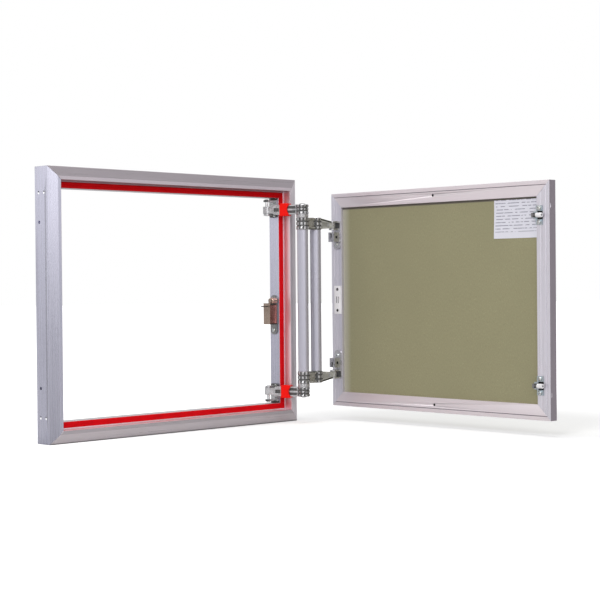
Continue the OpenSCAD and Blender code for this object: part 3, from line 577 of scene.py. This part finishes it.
# Painted light and shade: the door's uprights and rails likewise, one aluminium in copies of different tone
door_upright = extruded("door_upright_aluminium", (0.65, 0.63, 0.69), "Z")
door_level = extruded("door_level_aluminium", (0.73, 0.665, 0.695), "X", -DOOR_TURN, metal=0.6, rough=0.36)
# Painted shade: a dark copy for the door bars' outer edge and their seam
door_edge_and_seam_shade = extruded("door_edge_aluminium", (0.27, 0.235, 0.27), "Z", metal=0.3, rough=0.45)
tube_finish = extruded("tube_aluminium", (0.48, 0.47, 0.545), "Z", metal=0.35, rough=0.34)
zinc_casting = casting("zinc_casting", (0.50, 0.495, 0.51))
# Painted shade: a dark copy of the casting for grooves, channels, slots and gaps where shade falls
zinc_crevice_shade = casting("zinc_casting_crevices", (0.10, 0.10, 0.10), metal=0.4, rough=0.5)
zinc_bright = casting("zinc_casting_lit", (0.50, 0.50, 0.49), metal=0.3, rough=0.4)
zinc_shade = casting("zinc_casting_shade", (0.06, 0.06, 0.05), metal=0.5, rough=0.4)
raw_aluminium = casting("raw_aluminium", (0.45, 0.45, 0.47), grain=700)
zinc_sheet = plated("zinc_sheet", (0.36, 0.45, 0.51), (0.46, 0.48, 0.47))
strip_steel = plated("strip_steel", (0.20, 0.20, 0.205), (0.27, 0.26, 0.26), rough=0.35)
screw_steel = plated("screw_steel", (0.50, 0.54, 0.57), (0.60, 0.58, 0.52), metal=1.0, rough=0.16)
pin_steel = plated("pin_steel", (0.09, 0.09, 0.095), (0.16, 0.155, 0.15), rough=0.22)
bright_pin = plated("bright_pin", (0.62, 0.63, 0.65), (0.70, 0.70, 0.70), rough=0.2)
black_steel = plated("black_steel", (0.012, 0.012, 0.012), (0.02, 0.02, 0.02), metal=0.1, rough=0.5)
dark_steel = plated("dark_steel", (0.03, 0.03, 0.032), (0.05, 0.045, 0.04), metal=0.4, rough=0.4)
bronze_sheet = plated("bronze_sheet", (0.30, 0.23, 0.19), (0.38, 0.30, 0.25), metal=0.95, rough=0.18)
# Painted reflection: a redder copy for the housing's front, standing for the red gasket mirrored in it
bronze_red_reflection = plated("bronze_sheet_front", (0.36, 0.165, 0.14), (0.44, 0.225, 0.195), metal=0.9, rough=0.2)
bronze_roller = plated("bronze_roller", (0.50, 0.34, 0.27), (0.60, 0.46, 0.39), rough=0.18)
red_rubber = moulded("red_rubber", (0.70, 0.003, 0.008), 0.65, grain=1500, depth=0.05, gloss=0.06)
shaded_rubber = moulded("shaded_red_rubber", (0.56, 0.002, 0.005), 0.65, grain=1500, depth=0.05, gloss=0.06)
red_plastic = moulded("red_plastic", (0.98, 0.006, 0.002), 0.45, gloss=0.15)
# Painted shade: black for holes, pockets and gaps where shade falls
black_pad = moulded("black_pad", (0.012, 0.012, 0.012), 0.6, gloss=0.2)
# The strike plate's white is its own, made whiter than the rollers' nylon as painted light
white_plate = moulded("white_strike_plate", (0.99, 0.97, 0.985), 0.35)
white_nylon = moulded("white_nylon", (0.90, 0.885, 0.90), 0.4)
board_paper = board_finish()
leaflet_paper = leaflet_finish()


# The mitred bars of the frame, made as the left upright and then turned to their side

FRAME_SIDES = {
    "stile_free": (0, (-FRAME_W / 2, 0, 0), FRAME_H),
    "stile_hinge": (180, (FRAME_W / 2, 0, 0), FRAME_H),
    "rail_top": (90, (0, 0, FRAME_H / 2), FRAME_W),
    "rail_bottom": (-90, (0, 0, -FRAME_H / 2), FRAME_W),
}


def side_place(turn, corner):
    """The turn and the place that take the left upright to its side."""
    return Matrix.Translation(Vector(corner) * MM) @ Matrix.Rotation(radians(turn), 4, "Y")


def mitre(length):
    """In edit mode, cuts both ends of a bar at 45 degrees through its outer corners."""
    for end in (-1, 1):
        score((0, 0, end * (length / 2 - MITRE_GAP)), (1, 0, end), keep_both=False)


def dimple(x, y, z, size):
    """A cutter for the soft dent that a crimping tool leaves."""
    bpy.ops.object.select_all(action="DESELECT")
    bpy.ops.mesh.primitive_uv_sphere_add(
        segments=24, ring_count=12, radius=1, location=Vector((x, y, z)) * MM, scale=Vector(size) * MM
    )
    cutter = bpy.context.object
    bpy.ops.object.transform_apply(location=True, rotation=True, scale=True)
    return cutter


# On some bars the lip has painted light and shade of its own, chosen by how far its faces look to the front
LIP_PAINTED_TONES = (
    ("rail_top", top_bevel, 0.5, 0.97), ("rail_top", top_crest, 0.99, 1.1),
    ("rail_bottom", bottom_bevel, 0.5, 0.97), ("stile_free", free_bevel, 0.5, 0.97),
)


def frame_shape(name, length):
    """A bar with its bevelled lip, the stop behind the lip, crimping dents and, on uprights, fixing holes."""
    piece = block("frame_" + name + "_bar", (0, -LIP_PROUD, -length / 2), (LIP_W, FRAME_DEPTH, length / 2))
    choose(piece)
    bpy.ops.object.mode_set(mode="EDIT")
    score((0, 0, 0), (-LIP_PROUD, -BEVEL_W, 0), keep_both=False)
    score((0, STOP_Y, 0), (0, 1, 0))
    if name == "rail_bottom":
        score((RIM_W, 0, 0), (1, 0, 0))
    pick("faces", lambda middle, face: face.normal.x > 0.9 and middle.y > STOP_Y)
    bpy.ops.mesh.extrude_region_move(TRANSFORM_OT_translate={"value": ((JAMB_W - LIP_W) * MM, 0, 0)})
    mitre(length)
    bpy.ops.object.mode_set(mode="OBJECT")
    ease(piece, FRAME_EASE, angle=20)
    crimp_z = length / 2 - CRIMP_INSET
    cutters = [dimple(0, y, end * crimp_z, FRAME_CRIMP) for y in CRIMPS_Y for end in (-1, 1)]
    if length == FRAME_H:
        for end in (-1, 1):
            place = (0, FIXING_Y, end * FIXING_Z)
            cutters.append(rod("hole", place, FIXING_R, FIXING_DEPTH, (0, pi / 2, 0)))
    carve(piece, cutters)
    bpy.ops.object.shade_smooth_by_angle(angle=SMOOTH_BELOW)
    return piece


def frame_bar(name, turn, corner, length):
    """A bar of the frame at its side, with painted light, shade and reflection on its lip, its reveal and its
    dents.
    """
    piece = frame_shape(name, length)

    def in_dent(middle):
        at_crimp = abs(abs(middle.z) - length / 2 + CRIMP_INSET) < FRAME_CRIMP[2] + 0.4 and middle.y > 3
        return at_crimp and 0.1 < middle.x < FRAME_CRIMP[0] + 0.1

    reveal = faces_where(piece, lambda middle, normal: middle.y < STOP_Y + 0.1 and (
        normal.x > 0.8 and abs(middle.x - LIP_W) < 0.6 or normal.y < -0.8 and middle.x > LIP_W
    ))
    front = faces_where(piece, lambda middle, normal: normal.y < -0.3 and middle.y < 0.5)
    dent_glint_faces = faces_where(piece, lambda middle, normal: in_dent(middle) and normal.z >= -0.2)
    shaded = faces_where(piece, lambda middle, normal: in_dent(middle) and normal.z < -0.2)
    move_to(piece, side_place(turn, corner))
    finish = frame_upright if length == FRAME_H else frame_level
    wear(piece, finish, "frame", "frame_aluminium", "frame_" + name)
    # The top rail's reveal gets painted shade, the others the painted pink reflection
    use_on(piece, top_reveal_painted_shade if name == "rail_top" else frame_reveal_painted_pink, reveal)
    for bar, lip_tone, least, most in LIP_PAINTED_TONES:
        if bar == name:
            lip = set(faces_where(piece, lambda middle, normal: least < -normal.y < most and middle.y < 0.5))
            use_on(piece, lip_tone, sorted(lip.difference(reveal)))
    # Painted shade along the bottom rail's outer rim
    if name == "rail_bottom":
        use_on(piece, bottom_rim_painted_shade, faces_where(piece, lambda middle, normal: (
            middle.z < RIM_W - FRAME_H / 2 and middle.y < STOP_Y and normal.y < -0.05
        )))
    # Painted light on the hinge upright's front
    if name == "stile_hinge":
        use_on(piece, frame_far_bevel_painted_light, front)
    # Painted glints on the dents' upper faces, painted shade on their lower faces
    use_on(piece, painted_dent_glint, dent_glint_faces)
    use_on(piece, dent_shade, shaded)


def gasket_bar(name, turn, corner, length):
    """A soft strip with a crowned face, slightly pinched along its middle."""
    piece = block(
        "gasket_" + name + "_strip",
        (GASKET_IN, STOP_Y - GASKET_T, -length / 2), (GASKET_IN + GASKET_W, STOP_Y, length / 2),
    )
    choose(piece)
    bpy.ops.object.mode_set(mode="EDIT")
    for share in GASKET_CUTS:
        score((GASKET_IN + share * GASKET_W, 0, 0), (1, 0, 0))
    for share, depth in GASKET_PRESSED:
        line = GASKET_IN + share * GASKET_W
        press_back(STOP_Y - 1, lambda x: abs(x - line) < 0.05, depth)
    mitre(length)
    bpy.ops.object.mode_set(mode="OBJECT")
    ease(piece, FRAME_EASE, angle=14)
    move_to(piece, side_place(turn, corner))
    finish = shaded_rubber if name == "rail_top" else red_rubber
    wear(piece, finish, "frame", "red_gasket", "gasket_" + name.split("_")[1])


for name, (turn, corner, length) in FRAME_SIDES.items():
    frame_bar(name, turn, corner, length)
    gasket_bar(name, turn, corner, length)


# The door bars, made in the same way and then hung on the open door

DOOR_SIDES = {
    "stile_hinge": (0, (0, 0, 0), DOOR_H),
    "stile_free": (180, (DOOR_W, 0, 0), DOOR_H),
    "rail_top": (90, (DOOR_W / 2, 0, DOOR_H / 2), DOOR_W),
    "rail_bottom": (-90, (DOOR_W / 2, 0, -DOOR_H / 2), DOOR_W),
}


def door_shape(name, length):
    """A bar with its thin outer edge, a seam and dents, a band on uprights and a hole in rails."""
    piece = block("door_" + name + "_bar", (0, 0, -length / 2), (DOOR_BAR_W, FLANGE_T, length / 2))
    choose(piece)
    bpy.ops.object.mode_set(mode="EDIT")
    score((EDGE_T, 0, 0), (1, 0, 0))
    pick("faces", lambda middle, face: face.normal.y > 0.9 and middle.x < EDGE_T)
    bpy.ops.mesh.extrude_region_move(TRANSFORM_OT_translate={"value": (0, (DOOR_T - FLANGE_T) * MM, 0)})
    for x in (SEAM_X - SEAM_HALF_W, SEAM_X, SEAM_X + SEAM_HALF_W):
        score((x, 0, 0), (1, 0, 0))
    press_back(0.01, lambda x: abs(x - SEAM_X) < 0.05, SEAM_DEPTH)
    if length == DOOR_H:
        for x in (BAND_FROM, BAND_FROM + BAND_SLOPE, BAND_TO - BAND_SLOPE, BAND_TO):
            score((x, 0, 0), (1, 0, 0))
        press_back(0.01, lambda x: BAND_FROM + 0.2 < x < BAND_TO - 0.2, BAND_DEPTH)
    mitre(length)
    bpy.ops.object.mode_set(mode="OBJECT")
    ease(piece, DOOR_EASE, angle=35)
    crimp_z = length / 2 - CRIMP_INSET
    cutters = [dimple(0, FLANGE_T / 2, end * crimp_z, DOOR_CRIMP) for end in (-1, 1)]
    if length == DOOR_W:
        cutters.append(rod("hole", (HOLE_X, 0, 0), HOLE_R, HOLE_DEPTH, (pi / 2, 0, 0)))
    carve(piece, cutters)
    bpy.ops.object.shade_smooth_by_angle(angle=SMOOTH_BELOW)
    return piece


def door_bar(name, turn, corner, length):
    """A bar of the open door, with painted shade along its outer edge and, on rails, in its seam and its hole."""
    piece = door_shape(name, length)
    edge = faces_where(piece, lambda middle, normal: normal.x < -0.8 and middle.x < EDGE_T)
    hole, seam = [], []
    if length == DOOR_W:
        hole = faces_where(piece, lambda middle, normal: (
            Vector((middle.x - HOLE_X, middle.z)).length < HOLE_R + 0.1 and middle.y > 0.05
        ))
        seam = faces_where(piece, lambda middle, normal: (
            abs(middle.x - SEAM_X) < SEAM_HALF_W and 0.1 < middle.y < SEAM_DEPTH + 0.3
        ))
    move_to(piece, DOOR_PLACE @ side_place(turn, corner))
    finish = door_upright if length == DOOR_H else door_level
    wear(piece, finish, "door", "door_aluminium", "door_" + name)
    use_on(piece, door_edge_and_seam_shade, edge + seam)
    use_on(piece, black_pad, hole)


for name, (turn, corner, length) in DOOR_SIDES.items():
    door_bar(name, turn, corner, length)


def folded_leaflet():
    """A sheet that lies on the board with a gentle ripple, its free corners lifting a little."""
    left = DOOR_W - DOOR_BAR_W - LEAFLET_SIDE - LEAFLET_W
    foot = DOOR_H / 2 - DOOR_BAR_W - LEAFLET_DROP - LEAFLET_H
    bpy.ops.object.select_all(action="DESELECT")
    bpy.ops.mesh.primitive_grid_add(x_subdivisions=44, y_subdivisions=30, size=1)
    piece = bpy.context.object
    piece.name = "leaflet_sheet"
    for vertex in piece.data.vertices:
        across, up = vertex.co.x + 0.5, vertex.co.y + 0.5
        corner = max(0.0, 0.35 - across) ** 2 * max(0.0, 0.6 - up) * 12
        ripple = 0.12 * sin(9 * across + 4 * up) + 0.12
        lift = LEAFLET_T / 2 + ripple + 1.3 * corner
        vertex.co = Vector((left + across * LEAFLET_W, FLANGE_T - lift, foot + up * LEAFLET_H)) * MM
    finish_with(piece, "SOLIDIFY", thickness=LEAFLET_T * MM, offset=-1)
    choose(piece)
    bpy.ops.object.mode_set(mode="EDIT")
    bpy.ops.mesh.select_all(action="SELECT")
    bpy.ops.mesh.normals_make_consistent(inside=False)
    bpy.ops.object.mode_set(mode="OBJECT")
    bpy.ops.object.shade_smooth_by_angle(angle=SMOOTH_BELOW)
    move_to(piece, DOOR_PLACE)
    wear(piece, leaflet_paper, "door", "leaflet_paper", "leaflet")


folded_leaflet()


# Castings, tubes, pins and small parts: CAD shapes with their edges eased

EASED = {
    zinc_casting: ("zinc_casting", 0.45, (
        "jamb_bracket_upper", "jamb_bracket_lower", "swing_arm_upper", "swing_arm_lower",
        "link_arm_upper", "link_arm_lower", "elbow_washers", "door_bracket_upper", "door_bracket_lower",
    )),
    zinc_sheet: ("zinc_sheet", 0.25, ("keeper_plates", "catch_bracket_upper", "catch_bracket_lower")),
    strip_steel: ("zinc_sheet", 0.25, ("latch_strip",)),
    # The catch liners are black sheets standing for the shade in the pocket behind each roller
    black_pad: ("black_pad", 0.15, ("catch_liners",)),
    screw_steel: ("screw_steel", 0.15, (
        "jamb_bracket_screws", "door_bracket_screws", "catch_screws", "keeper_screws", "latch_screws",
    )),
    pin_steel: ("steel_pins", 0.25, ("elbow_pins", "door_pins", "release_pin")),
    bright_pin: ("steel_pins", 0.25, ("jamb_pins",)),
    red_plastic: ("red_plastic", 0.7, ("arm_cuff_upper", "arm_cuff_lower")),
    white_nylon: ("white_plastic", 0.3, ("strike_plate", "catch_roller_upper", "catch_roller_lower")),
    dark_steel: ("dark_steel", 0.15, ("adjusting_screws", "strike_screws")),
    tube_finish: ("tube_aluminium", 0.2, ("elbow_tube", "link_tube")),
    bronze_sheet: ("latch_steel", 0.35, ("latch_housing", "latch_carriage")),
    bronze_roller: ("latch_roller", 0.3, ("latch_roller",)),
}
for material, (slot, width, members) in EASED.items():
    for node in members:
        eased_copy(node, material, slot, width)


# The knuckles of the elbow are cut into rows of studs, with painted shade in the crevices between them

def studded(name, place, radius, low, high, clear_of):
    """Cuts grooves up and round a knuckle between two heights, but none up it where its arm joins."""
    piece = piece_for(name)
    rods = []
    for number in range(GROOVES):
        angle = 2 * pi * (number + 0.5) / GROOVES
        out = Vector((cos(angle), sin(angle), 0))
        if out.dot(clear_of) < JOINED:
            spot = Vector((place.x, place.y, (low + high) / 2)) + out * radius
            rods.append(rod("groove", spot, GROOVE_R, high - low - 2 * GROOVE_END, sides=14))
    choose(rods[0])
    for each in rods:
        each.select_set(True)
    bpy.ops.object.join()
    cutters = [bpy.context.object]
    for row in range(1, STUD_ROWS):
        bpy.ops.object.select_all(action="DESELECT")
        bpy.ops.mesh.primitive_torus_add(
            location=Vector((place.x, place.y, low + (high - low) * row / STUD_ROWS)) * MM,
            major_radius=radius * MM, minor_radius=RING_R * MM, major_segments=48, minor_segments=12,
        )
        cutters.append(bpy.context.object)
        bpy.ops.object.transform_apply(location=True, rotation=True, scale=True)
    carve(piece, cutters)
    bpy.ops.object.shade_smooth_by_angle(angle=SMOOTH_BELOW)

    def in_groove(middle, normal):
        apart = Vector((middle.x - place.x, middle.y - place.y)).length
        cut = radius - CREVICE_FROM < apart < radius - CREVICE_TO
        return cut and low + CREVICE_END < middle.z < high - CREVICE_END

    # Painted shade in the grooves
    use_on(piece, zinc_crevice_shade, faces_where(piece, in_groove))


elbow = joint_place["elbow_pivot"] / MM
tube_low, tube_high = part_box("link_tube")
second = (tube_low + tube_high) / 2 / MM
to_frame = (joint_place["frame_pivot"] / MM - elbow).normalized()
to_second = Vector((second.x - elbow.x, second.y - elbow.y, 0)).normalized()
swing_low, swing_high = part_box("swing_arm_upper")[0].z / MM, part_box("swing_arm_upper")[1].z / MM
swing_middle = (swing_low + swing_high) / 2
link_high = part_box("link_arm_upper")[1].z / MM
link_low = link_high - LINK_T
link_middle = link_high - LINK_T / 2
for side, level in LEVELS:
    for name, place, radius, span, clear_of in (
        ("swing_arm_" + level, elbow, KNUCKLE_R, (swing_low, swing_high), to_frame),
        ("link_arm_" + level, elbow, KNUCKLE_R, (link_low, link_high), to_second),
        ("link_arm_" + level, second, KNUCKLE_R - 0.3, (link_low, link_high), -to_second),
    ):
        studded(name, place, radius, *sorted(side * z for z in span), clear_of)


# Each arm's channels have painted shade inside

def darken_channels(name, along, half, floor, reach, low, high):
    """Paints shade on the walls of an arm's channels, and on their floors as far as the reach."""
    across = Vector((-along.y, along.x, 0))

    def inside(middle, normal):
        out = middle - elbow
        side = abs(out.dot(across))
        wall = side < half and abs(normal.z) > 0.9
        deep = side < floor and abs(normal.dot(across)) > 0.9 and out.dot(along) < reach
        return low < middle.z < high and (wall or deep)

    piece = piece_for(name)
    use_on(piece, zinc_crevice_shade, faces_where(piece, inside))


for side, level in LEVELS:
    for name, along, half, floor, reach, span in (
        ("swing_arm_" + level, to_frame, 5.8, 3.4, 60, (swing_low + 1, swing_high - 1)),
        ("link_arm_" + level, to_second, 6.6, 0, 0, (link_low + 2, link_high - 2)),
    ):
        darken_channels(name, along, half, floor, reach, *sorted(side * z for z in span))


# The lever of each link arm has painted light below a rim of painted shade, and its block has painted shade along
# the foot

link_length = (joint_place["door_pivot"] / MM - elbow).length
lever_run = link_length - LEVER_TO_PIN - LEVER_FROM
across_link = Vector((-to_second.y, to_second.x, 0))


def shade_link(name, side):
    """Parts a link arm's faces by where they lie along it, and by how far below the lever's sloping top."""
    piece = piece_for(name)
    start = elbow + to_second * LEVER_FROM
    rim_at = side * (link_middle + LEVER_TOP - LEVER_RIM)
    slope = to_second * LEVER_FALL + Vector((0, 0, side * lever_run))
    score_piece(
        piece, ((start.x, start.y, rim_at), slope), ((0, 0, side * (link_low + BLOCK_FOOT)), (0, 0, 1))
    )
    lit, shaded, foot = [], [], []
    for face in piece.data.polygons:
        out = face.center / MM - elbow
        along = out.dot(to_second)
        up = side * face.center.z / MM - link_middle
        rim = LEVER_TOP - LEVER_FALL * (along - LEVER_FROM) / lever_run - LEVER_RIM
        if abs(face.normal.z) > 0.6 or along < KNUCKLE_REACH:
            continue
        on_lever = LEVER_FROM - 1 < along < link_length - LEVER_TO_EYE
        if on_lever and abs(face.normal.dot(across_link)) > 0.7:
            (shaded if up > rim else lit).append(face.index)
        elif along < LEVER_FROM and up < BLOCK_FOOT - LINK_T / 2:
            foot.append(face.index)
    # Painted light on the lever, painted shade on its rim and along the block's foot
    use_on(piece, zinc_bright, lit)
    use_on(piece, zinc_shade, shaded)
    use_on(piece, zinc_crevice_shade, foot)


for side, level in LEVELS:
    shade_link("link_arm_" + level, side)


# Each door bracket has painted shade between its ears, and each jamb bracket at its head and foot and beside its
# pin

plate_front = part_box("jamb_bracket_upper")[1].x / MM - PLATE_T
pin_x = joint_place["frame_pivot"].x / MM


def on_door(middle):
    """A place in millimetres, in the door's own directions."""
    return to_door @ (middle * MM) / MM


def shade_door_bracket(name, side):
    """Paints shade on the floor between the ears."""
    piece = piece_for(name)
    eye = side * (link_middle - EYE_DROP)
    score_piece(piece, *(((0, 0, eye + end * EAR_APART), (0, 0, 1)) for end in (-1, 1)))
    use_on(piece, zinc_crevice_shade, faces_where(piece, lambda middle, normal: (
        abs(middle.z - eye) < EAR_APART and abs(on_door(middle).y - EAR_FLOOR_Y) < 0.3
    )))


def shade_jamb_bracket(name, side):
    """Paints shade on the head, the plate's foot and the lug beside the pin."""
    piece = piece_for(name)
    score_piece(piece, *(((0, 0, side * (swing_middle + up)), (0, 0, 1)) for up in (PLATE_HEAD, PLATE_FOOT)))

    def foot_or_lug(middle, normal):
        up = side * middle.z - swing_middle
        foot = up < PLATE_FOOT and middle.x > plate_front
        return foot or up > PLATE_NECK and middle.x < pin_x - LUG_PAST_PIN

    head = faces_where(piece, lambda middle, normal: side * middle.z - swing_middle > PLATE_HEAD)
    dark = faces_where(piece, foot_or_lug)
    use_on(piece, zinc_shade, head)
    use_on(piece, zinc_crevice_shade, dark)


for side, level in LEVELS:
    shade_door_bracket("door_bracket_" + level, side)
    shade_jamb_bracket("jamb_bracket_" + level, side)

piece_for("adjusting_screws").data.materials[0] = black_steel


# Each catch stands on the door with a cheek in painted shade, and its roller has painted shade at the end beside
# it

door_across, door_through = (door_turned.to_3x3() @ Vector(axis) for axis in ((1, 0, 0), (0, 1, 0)))


def shade_catch(level):
    """Paints shade on the bracket's cheek and on the roller's end."""
    bracket, roller = piece_for("catch_bracket_" + level), piece_for("catch_roller_" + level)
    use_on(bracket, strip_steel, faces_where(
        bracket, lambda middle, normal: on_door(middle).y < CATCH_CHEEK_Y
    ))
    end = min((to_door @ vertex.co).x for vertex in roller.data.vertices) / MM + ROLLER_END
    score_piece(roller, (DOOR_PLACE @ (Vector((end, 0, 0)) * MM) / MM, door_across))
    use_on(roller, black_pad, faces_where(roller, lambda middle, normal: on_door(middle).x < end))


for _, level in LEVELS:
    shade_catch(level)


# The strike plate is white, whiter than the rollers as painted light, and its slots have painted shade

plate = piece_for("strike_plate")
plate.data.materials[0] = white_plate
use_on(plate, zinc_crevice_shade, faces_where(plate, lambda middle, normal: (
    abs(middle.z) < SLOTS_HALF_H and abs(on_door(middle).x - SLOTS_X) < SLOT_HALF_W
    and abs(normal.dot(door_through)) < 0.5
)))


# The housing has painted shade along the foot of its front, and a painted red reflection of the gasket above it

housing = piece_for("latch_housing")
foot_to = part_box("latch_housing")[0].z / MM + HOUSING_FOOT
score_piece(housing, ((0, 0, foot_to), (0, 0, 1)))
use_on(housing, black_pad, faces_where(
    housing, lambda middle, normal: normal.y < -0.3 and middle.z < foot_to
))
use_on(housing, bronze_red_reflection, faces_where(
    housing, lambda middle, normal: normal.y < -0.3 and middle.z > foot_to
))


# The carriage has painted shade inside the housing, and its bronze shows only on the cheek beside the roller

carriage = piece_for("latch_carriage")
cheek_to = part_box("latch_roller")[0].x / MM
use_on(carriage, black_pad, faces_where(carriage, lambda middle, normal: middle.x > cheek_to))


def latch_coils():
    """Two coil springs of round wire behind the carriage."""
    low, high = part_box("latch_springs")
    wire = WIRE_R * MM
    middle_x = (low.x + high.x) / 2
    radius = (high.x - low.x) / 2 - wire
    for number, z in enumerate((low.z + radius + wire, high.z - radius - wire)):
        bpy.ops.object.select_all(action="DESELECT")
        bpy.ops.mesh.primitive_circle_add(
            vertices=10, radius=wire, fill_type="NGON", location=(radius, 0, 0), rotation=(pi / 2, 0, 0)
        )
        piece = bpy.context.object
        bpy.ops.object.transform_apply(location=True, rotation=True, scale=True)
        finish_with(
            piece, "SCREW", angle=2 * pi * COIL_TURNS, screw_offset=high.y - low.y - 2 * wire,
            steps=24 * COIL_TURNS, render_steps=24 * COIL_TURNS, use_normal_calculate=True,
        )
        piece.name = "latch_spring_%d" % number
        upright = Matrix.Translation((middle_x, low.y + wire, z)) @ Matrix.Rotation(-pi / 2, 4, "X")
        move_to(piece, upright)
        bpy.ops.object.shade_smooth_by_angle(angle=radians(60))
        wear(piece, pin_steel, "frame", "steel_pins", *(["latch_springs"] if number == 0 else []))
        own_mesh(piece)


latch_coils()


# The CAD pieces that stay as they are

for node, material in (
    ("frame_cleats", raw_aluminium), ("door_cleats", raw_aluminium), ("elbow_plugs", raw_aluminium),
    ("tile_board", board_paper),
):
    nodes[node].data.materials.clear()
    nodes[node].data.materials.append(material)


# The stage: pale floor, white surroundings and soft studio lamps

FLOOR_Z = -0.2003
FLOOR_PALE = (0.8, 0.8, 0.8)
# The floor glows least at the middle of the shadows, and in mirrors less than it does for the camera
SHADOWS_MIDDLE = (0.3, -0.25, 0)
SHADOWS_GLOW = 0.32
MIRRORED_GLOW = 0.25


def pale_floor():
    """A floor that turns to white away from the middle of the shadows."""
    bpy.ops.object.select_all(action="DESELECT")
    bpy.ops.mesh.primitive_circle_add(vertices=96, radius=14, fill_type="NGON", location=(0, 0, FLOOR_Z))
    floor = bpy.context.object
    floor.name = "floor"
    material = bpy.data.materials.new("pale_floor")
    material.use_nodes = True
    tree = material.node_tree
    tree.nodes.clear()
    lit = tree.nodes.new("ShaderNodeBsdfDiffuse")
    glow = tree.nodes.new("ShaderNodeEmission")
    reach = tree.nodes.new("ShaderNodeVectorMath")
    reach.operation = "DISTANCE"
    reach.inputs[1].default_value = SHADOWS_MIDDLE
    tree.links.new(place_pattern(tree, (1, 1, 1)), reach.inputs[0])
    lit.inputs["Color"].default_value = (*FLOOR_PALE, 1)
    strength = spread(tree, reach.outputs["Value"], 0.3, 0.9, SHADOWS_GLOW, 1.0)
    path = tree.nodes.new("ShaderNodeLightPath")
    mirrored = count(tree, "MULTIPLY", white_for_sight(tree), MIRRORED_GLOW)
    seen = count(tree, "MAXIMUM", mirrored, path.outputs["Is Camera Ray"])
    tree.links.new(count(tree, "MULTIPLY", strength, seen), glow.inputs["Strength"])
    both = tree.nodes.new("ShaderNodeAddShader")
    output = tree.nodes.new("ShaderNodeOutputMaterial")
    tree.links.new(lit.outputs["BSDF"], both.inputs[0])
    tree.links.new(glow.outputs["Emission"], both.inputs[1])
    tree.links.new(both.outputs["Shader"], output.inputs["Surface"])
    floor.data.materials.append(material)


def white_for_sight(tree):
    """1 for camera, glossy and transmission rays, and 0 for the rays that light the object."""
    path = tree.nodes.new("ShaderNodeLightPath")
    value = path.outputs["Is Camera Ray"]
    for name in ("Is Glossy Ray", "Is Transmission Ray"):
        value = count(tree, "MAXIMUM", value, path.outputs[name])
    return value


DARK_END = (0.62, -0.45, 0.65)


def white_surroundings():
    """White all round, but for the studio's darker end, to the right of the camera and above it."""
    world = bpy.data.worlds.new("studio")
    bpy.context.scene.world = world
    world.use_nodes = True
    tree = world.node_tree
    background = tree.nodes["Background"]
    background.inputs["Color"].default_value = (1, 1, 1, 1)
    coordinates = tree.nodes.new("ShaderNodeTexCoord")
    towards_dark = tree.nodes.new("ShaderNodeVectorMath")
    towards_dark.operation = "DOT_PRODUCT"
    towards_dark.inputs[1].default_value = Vector(DARK_END).normalized()
    tree.links.new(coordinates.outputs["Generated"], towards_dark.inputs[0])
    studio = spread(tree, towards_dark.outputs["Value"], 0.65, 0.97, 1.0, 0.5)
    path = tree.nodes.new("ShaderNodeLightPath")
    seen = white_for_sight(tree)
    unlit = count(tree, "MULTIPLY", studio, spread(tree, seen, 0, 1, 0.5, 1.0))
    strength = count(tree, "MAXIMUM", unlit, path.outputs["Is Camera Ray"])
    tree.links.new(strength, background.inputs["Strength"])


def soft_lamp(name, place, aim, size, power):
    """A white area lamp at a place, turned towards another."""
    lamp = bpy.data.objects.new(name, bpy.data.lights.new(name, "AREA"))
    lamp.data.shape = "RECTANGLE"
    lamp.data.size, lamp.data.size_y = size
    lamp.data.energy = power
    lamp.location = place
    lamp.rotation_euler = (Vector(aim) - Vector(place)).to_track_quat("-Z", "Y").to_euler()
    bpy.context.scene.collection.objects.link(lamp)


def photo_camera():
    """The photograph's camera: from the left front, near the middle height, rolled by half a degree."""
    place = Vector((-1.5137, -1.7661, 0.0301))
    heading = atan2(0.7057, 0.7085)
    dip = radians(0.68)
    forward = Vector((cos(dip) * cos(heading), cos(dip) * sin(heading), -sin(dip)))
    camera = bpy.data.objects.new("camera", bpy.data.cameras.new("camera"))
    camera.data.lens = 90
    camera.data.sensor_width = 36
    turn = forward.to_track_quat("-Z", "Y").to_matrix().to_4x4()
    roll = Matrix.Rotation(radians(-0.5), 4, "Z")
    camera.matrix_world = Matrix.Translation(place) @ turn @ roll
    bpy.context.scene.collection.objects.link(camera)
    bpy.context.scene.camera = camera


pale_floor()
white_surroundings()
soft_lamp("key", (-1.3, -0.7, 1.1), (0, 0, 0), (0.9, 0.9), 12)
soft_lamp("fill", (-0.6, -2.4, 0.7), (0.1, 0, 0), (1.6, 1.2), 10)
soft_lamp("top", (0.25, -0.1, 1.9), (0.25, -0.1, 0), (0.6, 0.6), 13)
photo_camera()
bpy.context.scene.view_settings.view_transform = "Standard"
